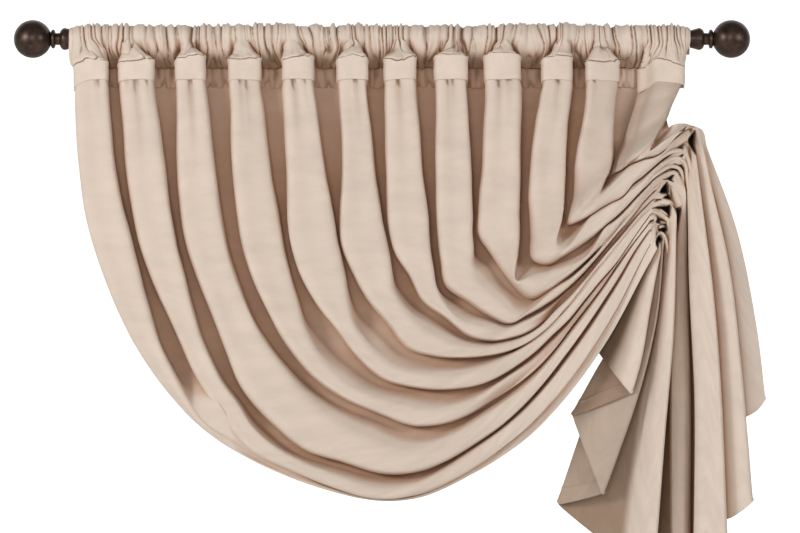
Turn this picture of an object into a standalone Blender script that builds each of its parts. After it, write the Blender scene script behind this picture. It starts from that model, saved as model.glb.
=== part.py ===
"""Velvet waterfall valance on a curtain rod with ball finials.

The cloth is three sewn pieces: a ruffled pocket that the rod runs through, a narrow band that
follows the folds, and one long panel. The panel falls from the band in twelve folds, swings up to
a ruched line at the right, turns over it and hangs down as a tail with zigzag edges.
Front is -Y, the rod lies along X, and the origin is on the rod's axis, midway along it.
"""

import math
from collections import namedtuple
from random import Random

import bpy

# Driving dimensions in metres
MM = 0.001
ROD_RADIUS = 0.0125
ROD_HALF_LENGTH = 0.5335
CLOTH_THICKNESS = 0.0018
SEAM_GAP = 0.0004
POCKET_LEFT = -0.5318
POCKET_RIGHT = 0.5265
BAND_HEIGHT = 0.034
BAND_OVER_PANEL = 0.022
BAND_STAND_OFF = 0.0026
RECESS_DROP = 0.013

# The pocket round the rod: its clear radius, how far the gathers stand out at the sides and on
# top, and the y and z at which its back layer ends, behind the folds
POCKET_RADIUS = 0.0168
GATHER_SIDE = 0.0040
GATHER_TOP = 0.0100
POCKET_BACK = 0.0100
POCKET_BACK_END = -0.0270
GATHER_SEED = 5

# The pocket's rows from the band up to the rod: the height of each over the band's foot, and the share
# of the way from the folds to the tube. Then the angles round the tube, over the top to the back.
Step = namedtuple("Step", "height share")
POCKET_STEPS = [Step(0.0355, 0.0), Step(0.045, 0.25), Step(0.055, 0.60)]
POCKET_ANGLES = (-8, 34, 72, 108, 150, 198, 246)

COLUMNS_PER_FOLD = 8
FOLDS_COUNT = 12
LAST_COLUMN = COLUMNS_PER_FOLD * FOLDS_COUNT

# The outer edge of each fold as (x, z) in millimetres: at the head, at two places down the drop,
# at its lowest point, at two places up the rise, and at the ruched line. The widths are the part
# of the pitch that the fold's front takes at the head and below it, and close_from and close_to
# say over which stretch of the run (0 head, 0.5 lowest, 1 ruched line) the recess beside it shuts.
Fold = namedtuple(
    "Fold", "head drop_a drop_b low rise_a rise_b gather width_head width close_from close_to"
)
FOLDS = [
    Fold(
        (-527, -70), (-484, -376), (-312, -659), (-12, -786), (198, -715), (353, -558), (465, -364),
        0.70, 0.80, 0.16, 0.34,
    ),
    Fold(
        (-448, -70), (-409, -356), (-278, -640), (-12, -781), (196, -703), (350, -539), (460, -344),
        0.57, 0.80, 0.24, 0.46,
    ),
    Fold(
        (-351, -70), (-334, -332), (-235, -600), (0, -740), (200, -660), (342, -497), (457, -318),
        0.52, 0.72, 0.22, 0.46,
    ),
    Fold(
        (-260, -70), (-246, -297), (-158, -530), (48, -659), (224, -596), (350, -455), (457, -303),
        0.56, 0.80, 0.20, 0.42,
    ),
    Fold(
        (-168, -70), (-158, -280), (-89, -502), (111, -599), (258, -533), (367, -412), (458, -288),
        0.56, 0.80, 0.20, 0.42,
    ),
    Fold(
        (-75, -70), (-70, -248), (-11, -439), (133, -546), (271, -495), (373, -384), (459, -274),
        0.62, 0.84, 0.22, 0.44,
    ),
    Fold(
        (5, -70), (7, -229), (49, -404), (185, -516), (299, -457), (387, -357), (462, -260),
        0.60, 0.80, 0.24, 0.46,
    ),
    Fold(
        (91, -70), (91, -213), (108, -379), (215, -489), (317, -425), (397, -335), (466, -246),
        0.62, 0.83, 0.30, 0.50,
    ),
    Fold(
        (176, -70), (171, -189), (168, -332), (253, -443), (342, -386), (413, -306), (474, -229),
        0.61, 0.83, 0.38, 0.52,
    ),
    Fold(
        (274, -70), (262, -162), (250, -277), (280, -386), (363, -338), (429, -270), (489, -208),
        0.65, 0.85, 0.42, 0.54,
    ),
    Fold(
        (349, -70), (338, -137), (325, -227), (316, -318), (387, -276), (453, -228), (516, -177),
        0.62, 0.83, 0.42, 0.54,
    ),
    Fold(
        (438, -70), (436, -114), (414, -178), (385, -238), (436, -214), (485, -190), (527, -160),
        1.05, 1.10, 0.38, 0.52,
    ),
]
SIDE_EDGE = Fold(
    (502, -70), (494, -92), (486, -124), (488, -152), (500, -147), (517, -146), (539, -152),
    1, 1, 0, 1,
)

# Depth of the folds along the run, in millimetres: y of the recess floor of the outermost fold, how
# much further back that of the innermost one lies, and how far the crowns stand in front of them.
Depth = namedtuple("Depth", "run floor tilt rise")
DEPTHS = [
    Depth(0.00, 5, 0, 42),
    Depth(0.17, 2, 0, 50),
    Depth(0.33, -14, 0, 48),
    Depth(0.50, -50, 4, 42),
    Depth(0.67, -60, 12, 34),
    Depth(0.83, -60, 22, 30),
    Depth(1.00, -54, 30, 15),
]
FULL_PITCH = 0.036
FLAT_PITCH = 0.004
TUCK_HEAD = 0.012
TUCK_GATHER = 0.005
TUCK_OF_PITCH = 0.22
ELBOW_REACH = 0.05

# One fold's section, from its outer edge to the next fold's: the share of the pitch, a share of
# the front's width, the tuck behind the next fold, and the height over the floor. The first set
# is the deep box fold of the upper part, the second the leaning fold of the swag.
Place = namedtuple("Place", "pitch front tuck height")
BOX_SECTION = [
    Place(0.00, 0.00, 0.0, 0.50),
    Place(0.06, 0.00, 0.0, 0.88),
    Place(0.00, 0.45, 0.0, 1.00),
    Place(-0.07, 1.00, 0.0, 0.90),
    Place(0.00, 1.00, 0.0, 0.50),
    Place(0.05, 1.00, 0.0, 0.06),
    Place(1.00, 0.00, 0.2, 0.00),
    Place(1.00, 0.00, 1.0, 0.20),
]
LEANING_SECTION = [
    Place(0.00, 0.00, 0.0, 0.50),
    Place(0.08, 0.00, 0.0, 0.88),
    Place(0.25, 0.00, 0.0, 1.00),
    Place(0.50, 0.00, 0.0, 0.86),
    Place(0.74, 0.00, 0.0, 0.62),
    Place(0.95, 0.00, 0.0, 0.36),
    Place(1.00, 0.00, 0.7, 0.14),
    Place(1.00, 0.00, 1.0, 0.16),
]
# Where folds crowd together they have no room to tuck, and become plain pleats.
PLEAT_SECTION = [
    Place(0.00, 0.00, 0.0, 0.34),
    Place(0.10, 0.00, 0.0, 0.80),
    Place(0.27, 0.00, 0.0, 1.00),
    Place(0.44, 0.00, 0.0, 0.84),
    Place(0.58, 0.00, 0.0, 0.52),
    Place(0.72, 0.00, 0.0, 0.20),
    Place(0.84, 0.00, 0.0, 0.00),
    Place(0.93, 0.00, 0.0, 0.06),
]
CROWDED_PITCH = 0.015
ROOMY_PITCH = 0.032
# The last fold has no neighbour: its section ends in the panel's side edge, behind its front.
SIDE_BOX_SECTION = BOX_SECTION[:5] + [
    Place(0.03, 0.97, 0.0, 0.20),
    Place(0.35, 0.65, 0.0, 0.04),
    Place(0.75, 0.25, 0.0, 0.00),
]
SIDE_LEANING_SECTION = LEANING_SECTION[:3] + [
    Place(0.42, 0.00, 0.0, 0.74),
    Place(0.58, 0.00, 0.0, 0.46),
    Place(0.72, 0.00, 0.0, 0.26),
    Place(0.84, 0.00, 0.0, 0.14),
    Place(0.93, 0.00, 0.0, 0.06),
]

# The tail's creases, left to right: the column each one takes, which way its fold turns (1 right,
# -1 left, 0 soft), whether the next layer goes behind (1) or comes in front (-1), and its (x, y, z)
# in millimetres just under the ruched line, at two places down and at the hem.
Crease = namedtuple("Crease", "column turn layer top upper lower hem")
CREASES = [
    Crease(0, 0, 0, (454, -46, -386), (414, -43, -436), (380, -42, -478), (352, -42, -512)),
    Crease(10, 1, 1, (473, -53, -370), (457, -56, -455), (443, -58, -540), (426, -58, -604)),
    Crease(18, -1, 1, (461, -38, -362), (441, -32, -463), (383, -28, -536), (321, -26, -643)),
    Crease(26, 1, 1, (480, -43, -346), (468, -44, -478), (434, -42, -617), (378, -40, -775)),
    Crease(34, -1, 1, (468, -28, -334), (434, -16, -506), (368, -12, -597), (298, -10, -795)),
    Crease(43, 0, 0, (484, -34, -324), (467, -36, -498), (443, -34, -652), (417, -30, -884)),
    Crease(51, 1, 1, (502, -42, -306), (497, -46, -490), (482, -46, -668), (465, -46, -894)),
    Crease(55, 0, 0, (493, -22, -298), (484, -8, -490), (468, -4, -668), (452, 2, -895)),
    Crease(59, 0, 0, (506, -14, -288), (507, -2, -460), (504, 4, -660), (505, 10, -896)),
    Crease(63, -1, -1, (506, -26, -286), (493, -22, -446), (488, -18, -640), (492, -14, -896)),
    Crease(70, 1, 1, (520, -28, -272), (523, -26, -440), (527, -22, -640), (527, -18, -896)),
    Crease(74, 0, 0, (517, -14, -262), (516, -6, -430), (518, 2, -630), (520, 6, -890)),
    Crease(76, 0, 0, (531, -16, -256), (536, -10, -425), (539, -8, -630), (541, -8, -888)),
    Crease(78, -1, -1, (524, -30, -252), (533, -42, -420), (533, -42, -630), (528, -40, -884)),
    Crease(84, 1, 1, (540, -42, -240), (563, -54, -420), (577, -56, -610), (588, -54, -852)),
    Crease(86, 0, 0, (535, -30, -232), (556, -38, -400), (570, -38, -590), (580, -36, -824)),
    Crease(90, 1, 1, (553, -32, -208), (590, -36, -385), (612, -34, -560), (632, -30, -788)),
    Crease(92, 0, 0, (548, -21, -200), (580, -22, -352), (596, -18, -490), (604, -14, -650)),
    Crease(96, 0, 0, (556, -18, -190), (606, -16, -330), (637, -12, -480), (655, -8, -622)),
]
TURN_TOP = 0.0022
TURN_HEM = 0.0040
TAIL_START = 1.12
TAIL_END = 2.00

# The panel's rows, as places along its run
SWAG_ROWS = (
    0, 0.06, 0.14, 0.22, 0.29, 0.35, 0.40, 0.44, 0.48, 0.52, 0.56, 0.61, 0.67, 0.74, 0.81, 0.88, 0.94, 1.0
)
OVER_ROWS = (0.35, 0.7)
TAIL_ROWS = (TAIL_START, 1.25, 1.42, 1.60, 1.80, TAIL_END)

# Finial profile: distance out from the collar's face and radius, in millimetres, up to the ball
FINIAL_COLLAR = ((0, 14.5), (2.5, 18), (7, 19.2), (12, 18.4), (15.5, 15.5), (17, 10.5))
FINIAL_RING = ((24, 10), (25.5, 14.5), (28, 16.4), (31, 14.8), (32.5, 11.2))
BALL_CENTRE = 63.3
BALL_RADIUS = 32.5
BALL_STEPS = 9
ROUND_STEPS = 18


def mix(a, b, share):
    """The value a share of the way from a to b, for numbers or points."""
    if isinstance(a, tuple):
        return tuple(mix(p, q, share) for p, q in zip(a, b))
    return a + (b - a) * share


def ease(value, low, high):
    """0 below low, 1 above high, and a soft step between."""
    share = min(1.0, max(0.0, (value - low) / (high - low)))
    return share * share * (3 - 2 * share)


def curve_at(points, share, first_slope=None):
    """A point on the smooth curve through evenly stepped points."""
    spans = len(points) - 1
    k = min(int(share * spans), spans - 1)
    f = share * spans - k
    out = []
    for axis in range(len(points[0])):
        p, q = points[k][axis], points[k + 1][axis]
        before = points[k - 1][axis] if k else 2 * p - q
        after = points[k + 2][axis] if k + 2 <= spans else 2 * q - p
        slope_p, slope_q = (q - before) / 2, (after - p) / 2
        if k == 0 and first_slope:
            slope_p = first_slope[axis]
        out.append(
            p * (1 + 2 * f) * (1 - f) ** 2
            + slope_p * f * (1 - f) ** 2
            + q * f * f * (3 - 2 * f)
            - slope_q * f * f * (1 - f)
        )
    return tuple(out)


def edge_at(fold, run):
    """A fold's outer edge as (x, z) in metres; it starts straight down."""
    points = fold[:7]
    straight_down = (0, points[1][1] - points[0][1])
    x, z = curve_at(points, run, straight_down)
    return x * MM, z * MM


def inward_at(fold, run):
    """The unit direction across the folds, towards the next one."""
    step = 0.01
    before = edge_at(fold, max(0.0, run - step))
    after = edge_at(fold, min(1.0, run + step))
    along_x, along_z = after[0] - before[0], after[1] - before[1]
    length = math.hypot(along_x, along_z)
    return -along_z / length, along_x / length


def straightness(fold, run):
    """1 where a fold's edge runs straight, down to 0 where it turns sharply."""
    before = inward_at(fold, max(0.0, run - ELBOW_REACH))
    after = inward_at(fold, min(1.0, run + ELBOW_REACH))
    return max(0.0, before[0] * after[0] + before[1] * after[1]) ** 2


def depth_at(run):
    """The outermost floor's y, the tilt and the crowns' rise at a place along the run, in metres."""
    for low, high in zip(DEPTHS, DEPTHS[1:]):
        if run <= high.run:
            share = ease(run, low.run, high.run)
            return tuple(mix(p, q, share) * MM for p, q in zip(low[1:], high[1:]))
    return tuple(value * MM for value in DEPTHS[-1][1:])


def swag_row(run):
    """The panel's section at a place along the run: one point for each column."""
    edges = [edge_at(fold, run) for fold in FOLDS] + [edge_at(SIDE_EDGE, run)]
    outer_floor, tilt, full_rise = depth_at(run)
    tuck_size = mix(TUCK_HEAD, TUCK_GATHER, ease(run, 0.3, 1.0))
    head_share = 1 - ease(run, 0.0, 0.12)
    inwards = [inward_at(fold, run) for fold in FOLDS[1:] + [SIDE_EDGE]]
    pitches = [
        abs((end[0] - start[0]) * inward[0] + (end[1] - start[1]) * inward[1])
        for start, end, inward in zip(edges, edges[1:], inwards)
    ]
    row = []
    for k, fold in enumerate(FOLDS):
        start, end, inward = edges[k], edges[k + 1], inwards[k]
        rise = full_rise * min(1.0, max(0.0, pitches[k] - FLAT_PITCH) / FULL_PITCH) ** 0.7
        shut = ease(run, fold.close_from, fold.close_to)
        front = mix(mix(fold.width_head, fold.width, ease(run, 0.0, 0.2)), 1.0, shut)
        room = ease(min(pitches[k:k + 2]), CROWDED_PITCH, ROOMY_PITCH)
        follower = FOLDS[k + 1] if k + 1 < FOLDS_COUNT else SIDE_EDGE
        tuck_here = min(tuck_size, pitches[k] * TUCK_OF_PITCH) * straightness(follower, run)
        sections = (BOX_SECTION, LEANING_SECTION)
        if k == FOLDS_COUNT - 1:
            sections = (SIDE_BOX_SECTION, SIDE_LEANING_SECTION)
        for column, (box, leaning, pleat) in enumerate(zip(*sections, PLEAT_SECTION)):
            share = mix(box.pitch + box.front * front, mix(pleat.pitch, leaning.pitch, room), shut)
            tuck = mix(box.tuck, mix(pleat.tuck, leaning.tuck, room), shut) * tuck_here
            height = mix(box.height, mix(pleat.height, leaning.height, room), shut)
            floor = outer_floor + tilt * (k + column / COLUMNS_PER_FOLD) / FOLDS_COUNT
            x = mix(start[0], end[0], share) + inward[0] * tuck
            z = mix(start[1], end[1], share) + inward[1] * tuck - RECESS_DROP * (1 - height) * head_share
            row.append((x, floor - rise * height, z))
    row.append((edges[-1][0], outer_floor + tilt, edges[-1][1] - RECESS_DROP * head_share))
    return row


def tail_row(run):
    """The tail's section: the creases with rounded turns, filled in to one point a column."""
    knots = []
    share = (run - TAIL_START) / (TAIL_END - TAIL_START)
    turn_radius = mix(TURN_TOP, TURN_HEM, share)
    for crease in CREASES:
        x, y, z = (v * MM for v in curve_at((crease.top, crease.upper, crease.lower, crease.hem), share))
        if crease.turn:
            back = x - crease.turn * turn_radius
            knots.append((crease.column - 1, (back, y - crease.layer * turn_radius, z)))
            knots.append((crease.column, (x, y, z)))
            knots.append((crease.column + 1, (back, y + crease.layer * turn_radius, z)))
        else:
            knots.append((crease.column, (x, y, z)))
    row = []
    for (low, p), (high, q) in zip(knots, knots[1:]):
        row += [mix(p, q, (column - low) / (high - low)) for column in range(low, high)]
    return row + [knots[-1][1]]


def over_rows():
    """The rows that turn over the ruched line, between the swag's last row and the tail's first."""
    swag_end, tail_top = swag_row(1.0), tail_row(TAIL_START)
    return [[mix(p, q, share) for p, q in zip(swag_end, tail_top)] for share in OVER_ROWS]


def grid_mesh(name, rows):
    """An open sheet through rows of points."""
    mesh = bpy.data.meshes.new(name)
    width = len(rows[0])
    points = [point for row in rows for point in row]
    faces = []
    for r in range(len(rows) - 1):
        for c in range(width - 1):
            corner = r * width + c
            faces.append((corner, corner + width, corner + width + 1, corner + 1))
    mesh.from_pydata(points, [], faces)
    mesh.shade_smooth()
    return mesh


def add_cloth(name, rows, material, parts):
    """A cloth piece: its sheet with Solidify to the velvet's thickness, centred on the sheet."""
    piece = bpy.data.objects.new(name, grid_mesh(name, rows))
    parts.objects.link(piece)
    piece.data.materials.append(material)
    solid = piece.modifiers.new("thickness", "SOLIDIFY")
    solid.thickness = CLOTH_THICKNESS
    solid.offset = 0
    return piece


def offset_row(row, distance):
    """The row moved level and square to itself, towards the front for a positive distance."""
    moved = []
    for k, (x, y, z) in enumerate(row):
        before = row[max(0, k - 1)]
        after = row[min(len(row) - 1, k + 1)]
        along = (after[0] - before[0], after[1] - before[1])
        length = math.hypot(*along)
        moved.append((x + along[1] / length * distance, y - along[0] / length * distance, z))
    return moved


def lifted(row, height):
    return [(x, y, z + height) for x, y, z in row]


def gather_depths():
    """How far each column of the pocket stands out, 0 to 1: gathers alternate unevenly."""
    dice = Random(GATHER_SEED)
    return [(0.55 + 0.45 * dice.random()) if k % 2 else 0.3 * dice.random() for k in range(LAST_COLUMN + 1)]


def pocket_rows():
    """The pocket's rows: up from the seam, round the rod, and back down behind the front layer."""
    seam = swag_row(0)
    gathers = gather_depths()
    tube_x = [mix(POCKET_LEFT, POCKET_RIGHT, k / LAST_COLUMN) for k in range(LAST_COLUMN + 1)]
    tube_rows = []
    for angle in POCKET_ANGLES:
        turn = math.radians(angle)
        row = []
        for x, gather in zip(tube_x, gathers):
            stand_out = mix(GATHER_SIDE, GATHER_TOP, max(0.0, math.sin(turn)))
            radius = POCKET_RADIUS + stand_out * gather
            row.append((x, -radius * math.cos(turn), radius * math.sin(turn)))
        tube_rows.append(row)
    front_rows = [lifted(seam, BAND_OVER_PANEL + SEAM_GAP)]
    for step in POCKET_STEPS:
        front_rows.append([
            (mix(p[0], q[0], step.share), mix(p[1], q[1], step.share), p[2] + step.height)
            for p, q in zip(seam, tube_rows[0])
        ])
    back_end = [(x, POCKET_BACK, POCKET_BACK_END) for x in tube_x]
    return front_rows + tube_rows + [back_end]


def make_material(name, colour, roughness, metallic):
    material = bpy.data.materials.new(name)
    material.use_nodes = True
    shader = material.node_tree.nodes["Principled BSDF"]
    shader.inputs["Base Color"].default_value = (*colour, 1)
    shader.inputs["Roughness"].default_value = roughness
    shader.inputs["Metallic"].default_value = metallic
    return material


def make_panel(material, parts):
    """Swag and tail in one sheet: its rows run from the band to the ruched line and the hem."""
    behind_band = lifted(swag_row(0), BAND_OVER_PANEL)
    swag = [swag_row(run) for run in SWAG_ROWS]
    tail = [tail_row(run) for run in TAIL_ROWS]
    return add_cloth("panel", [behind_band] + swag + over_rows() + tail, material, parts)


def make_pocket(material, parts):
    """The ruffled tube round the rod, with the tail that the band is sewn over."""
    return add_cloth("pocket", pocket_rows(), material, parts)


def make_band(material, parts):
    """The narrow band sewn over the seam of pocket and panel, in and out of the folds."""
    outside = offset_row(swag_row(0), BAND_STAND_OFF)
    rows = [lifted(outside, BAND_HEIGHT * share) for share in (1.0, 0.5, 0.0)]
    return add_cloth("band", rows, material, parts)


def make_rod(material, parts):
    bpy.ops.mesh.primitive_cylinder_add(
        vertices=ROUND_STEPS,
        radius=ROD_RADIUS,
        depth=2 * ROD_HALF_LENGTH,
        rotation=(0, math.radians(90), 0),
    )
    rod = bpy.context.object
    rod.name = "rod"
    for collection in list(rod.users_collection):
        collection.objects.unlink(rod)
    parts.objects.link(rod)
    rod.data.materials.append(material)
    rod.data.shade_smooth()
    rod.data.set_sharp_from_angle(angle=math.radians(40))
    return rod


def finial_profile():
    """The finial's outline from its tip down to the collar's face, as (radius, height) in metres."""
    ring_top = FINIAL_RING[-1][1]
    low = math.asin(ring_top / BALL_RADIUS)
    outline = [(0.0, BALL_CENTRE + BALL_RADIUS)]
    for k in range(1, BALL_STEPS + 1):
        angle = mix(0.0, math.pi - low, k / BALL_STEPS)
        outline.append((BALL_RADIUS * math.sin(angle), BALL_CENTRE + BALL_RADIUS * math.cos(angle)))
    outline += [(radius, height) for height, radius in reversed(FINIAL_COLLAR + FINIAL_RING[:-1])]
    outline.append((0.0, 0.0))
    return [(radius * MM, height * MM) for radius, height in outline]


def make_finial(name, side, material, parts):
    """A ball finial: its outline turned round, with the collar's face against the rod's end."""
    outline = finial_profile()
    mesh = bpy.data.meshes.new(name)
    mesh.from_pydata([(r, 0, z) for r, z in outline], [(k, k + 1) for k in range(len(outline) - 1)], [])
    finial = bpy.data.objects.new(name, mesh)
    parts.objects.link(finial)
    screw = finial.modifiers.new("turned", "SCREW")
    screw.steps = ROUND_STEPS
    screw.render_steps = ROUND_STEPS
    screw.use_merge_vertices = True
    screw.merge_threshold = 0.00005
    screw.use_smooth_shade = True
    finial.location = (side * (ROD_HALF_LENGTH + SEAM_GAP), 0, 0)
    finial.rotation_euler = (0, side * math.radians(90), 0)
    mesh.materials.append(material)
    return finial


def main():
    for thing in list(bpy.data.objects):
        bpy.data.objects.remove(thing, do_unlink=True)
    parts = bpy.data.collections.new("waterfall_valance")
    bpy.context.scene.collection.children.link(parts)
    velvet = make_material("velvet", (0.62, 0.49, 0.39), 0.9, 0.0)
    bronze = make_material("bronze", (0.055, 0.035, 0.028), 0.35, 0.6)
    make_panel(velvet, parts)
    make_pocket(velvet, parts)
    make_band(velvet, parts)
    make_rod(bronze, parts)
    make_finial("finial_left", -1, bronze, parts)
    make_finial("finial_right", 1, bronze, parts)


main()
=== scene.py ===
# %% [markdown]
# A velvet waterfall valance
#
# The curtain hangs from a rod: a ruffled pocket, a sewn band, one long panel that falls in twelve
# folds, swings up to a ruched line at the right, turns over it and hangs down as a tail.
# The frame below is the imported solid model, which fixes every place and size. Each cell adds a
# finer piece that takes the place of one of its solids.

# %% The frame
import math
from collections import namedtuple

import bpy
import numpy as np
from mathutils import Matrix, Vector


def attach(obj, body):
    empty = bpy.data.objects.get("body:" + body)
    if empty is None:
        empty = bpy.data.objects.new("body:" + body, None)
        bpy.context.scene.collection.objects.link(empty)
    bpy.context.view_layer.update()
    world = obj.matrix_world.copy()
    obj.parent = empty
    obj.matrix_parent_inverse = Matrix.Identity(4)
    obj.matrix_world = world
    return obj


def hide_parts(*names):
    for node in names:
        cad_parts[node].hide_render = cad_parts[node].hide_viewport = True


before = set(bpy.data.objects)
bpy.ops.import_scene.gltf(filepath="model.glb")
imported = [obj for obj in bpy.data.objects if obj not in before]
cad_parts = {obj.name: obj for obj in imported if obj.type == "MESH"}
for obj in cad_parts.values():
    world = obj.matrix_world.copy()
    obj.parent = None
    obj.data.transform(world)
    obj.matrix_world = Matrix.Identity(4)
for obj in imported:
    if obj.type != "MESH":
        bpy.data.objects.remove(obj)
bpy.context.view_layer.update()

MM = 0.001

# %% [markdown]
# Camera
#
# The photo is taken square on from far away, so the camera stands eight metres off with a long
# lens. One pixel of the photo is 1.71 mm at the rod, and the rod's middle is at pixel (382, 39).

# %% Camera
PHOTO_WIDTH, PHOTO_HEIGHT = 800, 533
PIXEL = 0.00171
ROD_MIDDLE_X, ROD_MIDDLE_Y = 382, 39
CAMERA_DISTANCE = 8.0
SENSOR = 36.0


def add_object(name, data):
    """A new object of the scene around a mesh, a lamp or a camera."""
    thing = bpy.data.objects.new(name, data)
    bpy.context.scene.collection.objects.link(thing)
    return thing


camera = add_object("camera", bpy.data.cameras.new("camera"))
camera.data.sensor_width = SENSOR
camera.data.lens = SENSOR * CAMERA_DISTANCE / (PHOTO_WIDTH * PIXEL)
aside, up = PHOTO_WIDTH / 2 - ROD_MIDDLE_X, ROD_MIDDLE_Y - PHOTO_HEIGHT / 2
camera.location = (aside * PIXEL, -CAMERA_DISTANCE, up * PIXEL)
camera.rotation_euler = (math.radians(90), 0, 0)
bpy.context.scene.camera = camera
print("camera at", [round(v, 3) for v in camera.location], "lens", round(camera.data.lens, 1))

# %% [markdown]
# Small tools
#
# The cloth is drawn as a grid of points: rows run along the panel, columns across its folds.
# These helpers work on whole arrays at once, which keeps a large grid quick.


# %% Mixing, easing and smooth curves
def mix(a, b, share):
    return a + (b - a) * share


def ease(value, low, high):
    """0 below low, 1 above high, and a soft step between."""
    share = np.clip((value - low) / (high - low), 0.0, 1.0)
    return share * share * (3 - 2 * share)


def hill(value, middle, width):
    """1 at the middle, falling softly to nothing on both sides."""
    return np.exp(-(((value - middle) / width) ** 2))


def hermite(p, q, slope_p, slope_q, f):
    """The smooth curve from p to q with the given slopes, at share f."""
    return (
        p * (1 + 2 * f) * (1 - f) ** 2
        + slope_p * f * (1 - f) ** 2
        + q * f * f * (3 - 2 * f)
        - slope_q * f * f * (1 - f)
    )


def curve_at(points, shares, first_slope=None):
    """Points on the smooth curve through evenly stepped points, one for each share."""
    points = np.asarray(points, float)
    spans = len(points) - 1
    k = np.minimum((np.asarray(shares) * spans).astype(int), spans - 1)
    f = (shares * spans - k)[:, None]
    ends = np.concatenate([[2 * points[0] - points[1]], points, [2 * points[-1] - points[-2]]])
    slopes = (ends[2:] - ends[:-2]) / 2
    if first_slope is not None:
        slopes[0] = first_slope
    return hermite(points[k], points[k + 1], slopes[k], slopes[k + 1], f)


def refine(grid, steps):
    """More columns on smooth curves through the given ones, with its steps for each interval."""
    step = np.diff(grid, axis=1)
    gap = np.sqrt(np.linalg.norm(step, axis=2, keepdims=True)) + 1e-5
    slope = step / gap
    inner = (slope[:, :-1] * gap[:, 1:] + slope[:, 1:] * gap[:, :-1]) / (gap[:, :-1] + gap[:, 1:])
    slopes = np.concatenate([slope[:, :1], inner, slope[:, -1:]], axis=1)
    columns = []
    for k, count in enumerate(np.resize(steps, grid.shape[1] - 1)):
        p, q = grid[:, k], grid[:, k + 1]
        slope_p, slope_q = slopes[:, k] * gap[:, k], slopes[:, k + 1] * gap[:, k]
        columns += [hermite(p, q, slope_p, slope_q, j / count) for j in range(count)]
    return np.stack(columns + [grid[:, -1]], axis=1)


def along(grid, axis):
    """The distance along each line of the grid from its start."""
    steps = np.linalg.norm(np.diff(grid, axis=axis), axis=2)
    zero = np.zeros_like(np.take(steps, [0], axis=axis))
    return np.concatenate([zero, np.cumsum(steps, axis=axis)], axis=axis)


def spots_on(line, places):
    """The points of a line that lie at the given distances along it."""
    length = along(line[None], 1)[0]
    return np.stack([np.interp(places, length, line[:, k]) for k in range(line.shape[1])], axis=1)


def normals_of(grid):
    """Square to the sheet at each point: out of its face if the rows run down, into it if up."""
    normal = np.cross(np.gradient(grid, axis=0), np.gradient(grid, axis=1))
    return normal / (np.linalg.norm(normal, axis=2, keepdims=True) + 1e-12)


def ripples(u, v, seed):
    """Smooth random values from -1 to 1 on a plane, one unit from bump to bump."""
    table = np.random.RandomState(seed).uniform(-1, 1, (64, 64))
    iu, iv = np.floor(u).astype(int), np.floor(v).astype(int)
    fu, fv = u - iu, v - iv
    fu, fv = fu * fu * (3 - 2 * fu), fv * fv * (3 - 2 * fv)
    low = mix(table[iu % 64, iv % 64], table[(iu + 1) % 64, iv % 64], fu)
    high = mix(table[iu % 64, (iv + 1) % 64], table[(iu + 1) % 64, (iv + 1) % 64], fu)
    return mix(low, high, fv)


# %% Meshes from grids
def add_sheets(name, sheets, material):
    """Smooth sheets as one mesh, from grids, each with its flat sizes in metres as its UV map."""
    points, faces, flat = [], [], []
    for grid, across, down in sheets:
        rows, columns = grid.shape[:2]
        corner = (np.arange(rows - 1)[:, None] * columns + np.arange(columns - 1)).ravel() + len(points)
        faces += np.stack([corner, corner + columns, corner + columns + 1, corner + 1], axis=1).tolist()
        flat += np.stack([np.broadcast_to(across, (rows, columns)), down], axis=2).reshape(-1, 2).tolist()
        points += grid.reshape(-1, 3).tolist()
    mesh = bpy.data.meshes.new(name)
    mesh.from_pydata(points, [], faces)
    mesh.shade_smooth()
    layer = mesh.uv_layers.new(name="flat")
    layer.data.foreach_set("uv", np.array(flat)[np.array(faces).ravel()].ravel().astype(np.float32))
    mesh.materials.append(material)
    print(name, len(sheets), "sheets,", len(points), "points,", 2 * len(faces), "triangles")
    return add_object(name, mesh)


def add_values(piece, name, amount):
    """A named value from 0 to 1 at each point, for the velvet to read."""
    values = piece.data.attributes.new(name, "FLOAT", "POINT")
    values.data.foreach_set("value", np.clip(amount, 0, 1).ravel().astype(np.float32))


def with_modifiers(piece):
    """The plain mesh that a piece's modifiers make."""
    return bpy.data.meshes.new_from_object(piece.evaluated_get(bpy.context.evaluated_depsgraph_get()))


# %% Nodes and materials
def set_values(node, **values):
    """Sets a node's own settings or its inputs, with underscores for the spaces in their names."""
    for name, value in values.items():
        if hasattr(node, name):
            setattr(node, name, value)
        else:
            node.inputs[name.replace("_", " ")].default_value = value
    return node


def add_node(tree, kind, **values):
    return set_values(tree.nodes.new(kind), **values)


def wire(tree, *links):
    """Joins nodes. Each link is a node and its output, then the next node and its input."""
    for source, output, target, entry in links:
        tree.links.new(source.outputs[output], target.inputs[entry])


def colour_ramp(tree, stops):
    node = tree.nodes.new("ShaderNodeValToRGB")
    elements = node.color_ramp.elements
    while len(elements) < len(stops):
        elements.new(0.5)
    for element, (place, colour) in zip(elements, stops):
        element.position = place
        element.color = (*colour, 1)
    return node


def new_material(name, **values):
    """A material, its node tree and its shader with the given values."""
    material = bpy.data.materials.new(name)
    material.use_nodes = True
    return material, material.node_tree, set_values(material.node_tree.nodes["Principled BSDF"], **values)
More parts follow.
